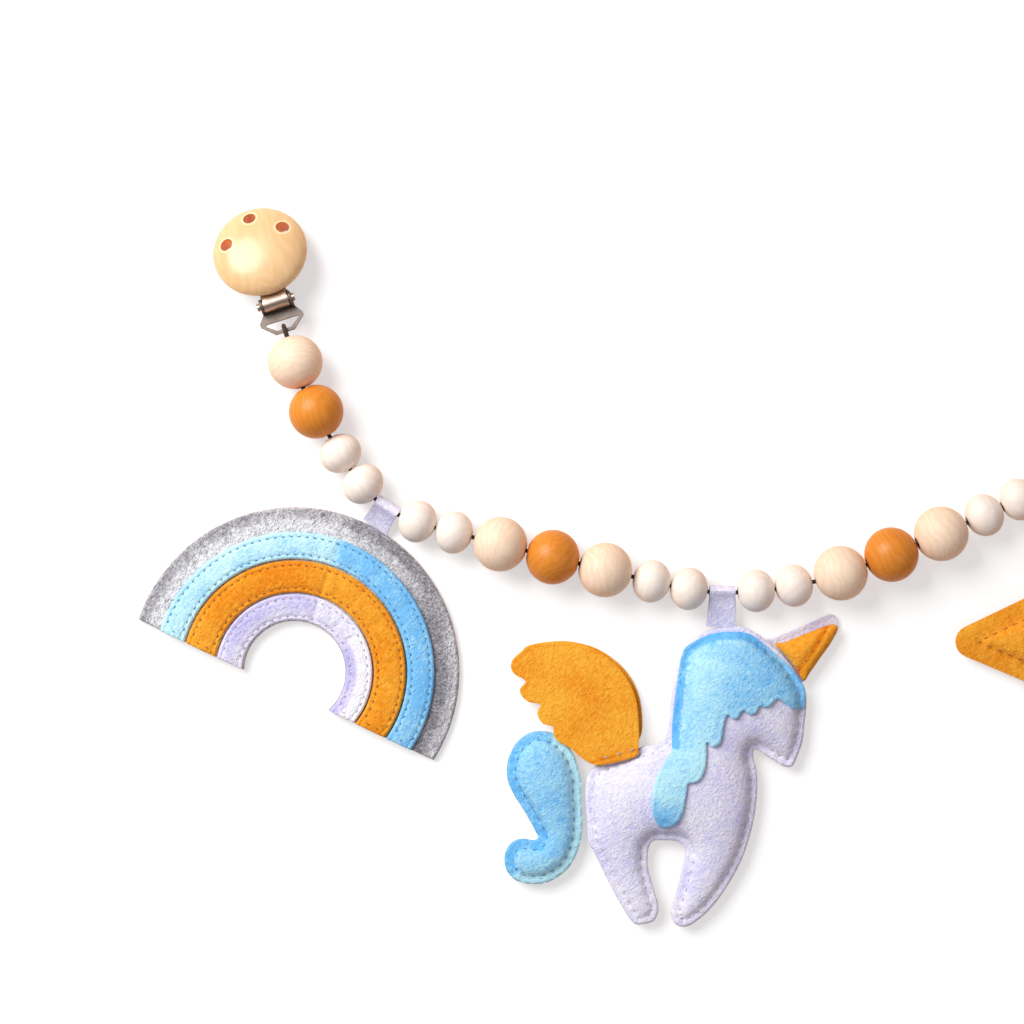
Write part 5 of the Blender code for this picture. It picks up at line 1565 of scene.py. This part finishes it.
@dataclass
class Star:
    """A stuffed felt star, sewn at an even distance inside its cut edge."""

    radius: float = 54 * MM
    valley: float = 0.473
    drop: float = 7.7 * MM
    seam_plane: float = 4.2 * MM
    seam: float = 6.9 * MM
    tip: float = 6.0 * MM
    tip_points: int = 9
    sunk: float = 1.2 * MM
    lean: float = math.radians(-8.5)

    def outline(self) -> np.ndarray:
        """Five tips and five valleys; each tip is an arc between the two straight edges that would meet there."""
        half = math.atan2(self.valley * math.sin(math.pi / 5), 1 - self.valley * math.cos(math.pi / 5))
        meeting = self.radius + self.tip * (1 / math.sin(half) - 1)
        sweep = np.linspace(-1, 1, self.tip_points) * (math.pi / 2 - half)
        corners = []
        for i in range(5):
            up = math.pi / 2 + i * 2 * math.pi / 5
            dip = np.array([math.cos(up - math.pi / 5), math.sin(up - math.pi / 5)]) * meeting * self.valley
            middle = np.array([math.cos(up), math.sin(up)]) * (self.radius - self.tip)
            arc = middle + self.tip * np.column_stack([np.cos(up + sweep), np.sin(up + sweep)])
            corners += [dip, *arc]
        return np.array(corners)

    def build(self) -> None:
        """Make the star, its seam and its tag."""
        pendant = Pendant("star", self.drop, self.seam_plane, lean=self.lean)
        HangingTag(pendant, self.drop * math.cos(self.lean) - 0.35 * MM).build()
        place = pendant.table.moved((0, self.sunk - self.drop - self.radius, 0))
        shape = FeltShape(self.outline(), self.seam, smooth=False)
        work = FeltWork("star_orange_felt", shape, place, self.seam_plane, 1.2 * MM, 5.6 * MM, 2.7 * MM,
                        pucker=0.3 * MM)
        work.build(Finish.FELT_ORANGE, "star", ("felt_star",), "orange_felt")
        Stitches(length=2.2 * MM, gap=1.9 * MM, radius=0.2 * MM).sew(
            "star_stitches", [work.seam_path(), work.seam_path(upper=False)], Finish.ORANGE_THREAD, "star",
            "orange_felt")
        log.info("star: stuffed and sewn")


# The room


@dataclass
class Studio:
    """A white table seen from straight above, in soft light from the upper left."""

    scale: float = 0.37 * MM
    pixels: int = 1024
    tag_pixel: tuple[float, float] = (722, 592)
    distance: float = 0.95
    table: float = -0.1 * MM
    half_table: float = 3.0
    sensor: float = 36
    sky: tuple = ((0.84, 0.87, 1, 1), 0.26)
    # Name, place from the middle of the view, diameter, power and tint.
    lamps: tuple = (("key", (-0.62, 0.52, 0.78), 0.85, 16.4, (1.0, 0.985, 0.96)),
                    ("fill", (0.75, -0.35, 0.9), 0.9, 1.7, (1.0, 0.84, 0.7)))

    def build(self) -> None:
        """Make the floor, the lamps and the camera."""
        scene = bpy.context.scene
        scene.view_settings.view_transform = "Standard"
        half = self.pixels / 2
        tag = np.array(JOINTS["unicorn_swing"]["pos_m"])
        centre = tag[:2] + np.array([half - self.tag_pixel[0], self.tag_pixel[1] - half]) * self.scale
        self.floor(centre)
        for name, place, size, power, tint in self.lamps:
            self.lamp(name, (*(centre + place[:2]), place[2]), size, power, centre, tint)
        world = bpy.data.worlds.new("room")
        world.use_nodes = True
        sky = world.node_tree.nodes["Background"].inputs
        sky["Color"].default_value, sky["Strength"].default_value = self.sky
        scene.world = world
        lens = bpy.data.cameras.new("camera")
        lens.sensor_width = self.sensor
        lens.lens = self.sensor * self.distance / (self.pixels * self.scale)
        lens.clip_start = 0.01
        camera = Bench.link("camera", lens)
        camera.location = (*centre, self.distance + 0.006)
        scene.camera = camera

    def floor(self, centre: np.ndarray) -> None:
        """A pale table that the camera sees as white, with the chain's shadow kept."""
        corners = [(centre[0] + x * self.half_table, centre[1] + y * self.half_table, self.table)
                   for x, y in ((-1, -1), (1, -1), (1, 1), (-1, 1))]
        mesh = bpy.data.meshes.new("table_top")
        mesh.from_pydata(corners, [], [(0, 1, 2, 3)])
        graph = Graph("table_white")
        rays = graph.node("ShaderNodeLightPath")
        eye, glossy, through = (Signal(graph, rays.outputs[f"Is {kind} Ray"])
                                for kind in ("Camera", "Glossy", "Transmission"))
        graph.dress(Base_Color=graph.mix(eye, (0.76, 0.48, 0.28), (0.62, 0.62, 0.62)), Roughness=0.9,
                    Specular_IOR_Level=0.0, Emission_Strength=1.0,
                    Emission_Color=graph.mix((eye + glossy + through).clamp(), (0.0, 0.0, 0.0), (0.52, 0.52, 0.52)))
        mesh.materials.append(graph.material)
        Bench.link("table_top", mesh)

    @staticmethod
    def lamp(name: str, place: Triple, size: float, power: float, aim: np.ndarray, tint: Triple) -> None:
        """A round soft lamp pointed at the table."""
        data = bpy.data.lights.new(name, "AREA")
        data.shape = "DISK"
        data.size = size
        data.energy = power
        data.color = tint
        lamp = Bench.link(name, data)
        lamp.location = place
        lamp.rotation_euler = (Vector((*aim, 0)) - Vector(place)).to_track_quat("-Z", "Y").to_euler()


def main() -> None:
    """Build every piece in order."""
    logging.basicConfig(level=logging.INFO, format="%(name)s %(message)s")
    Studio().build()
    Beads().build()
    ElasticCord().build()
    for side in ("left", "right"):
        ToggleClip(side).build()
    Rainbow().build()
    Unicorn().build()
    Star().build()


if __name__ == "__main__":
    main()
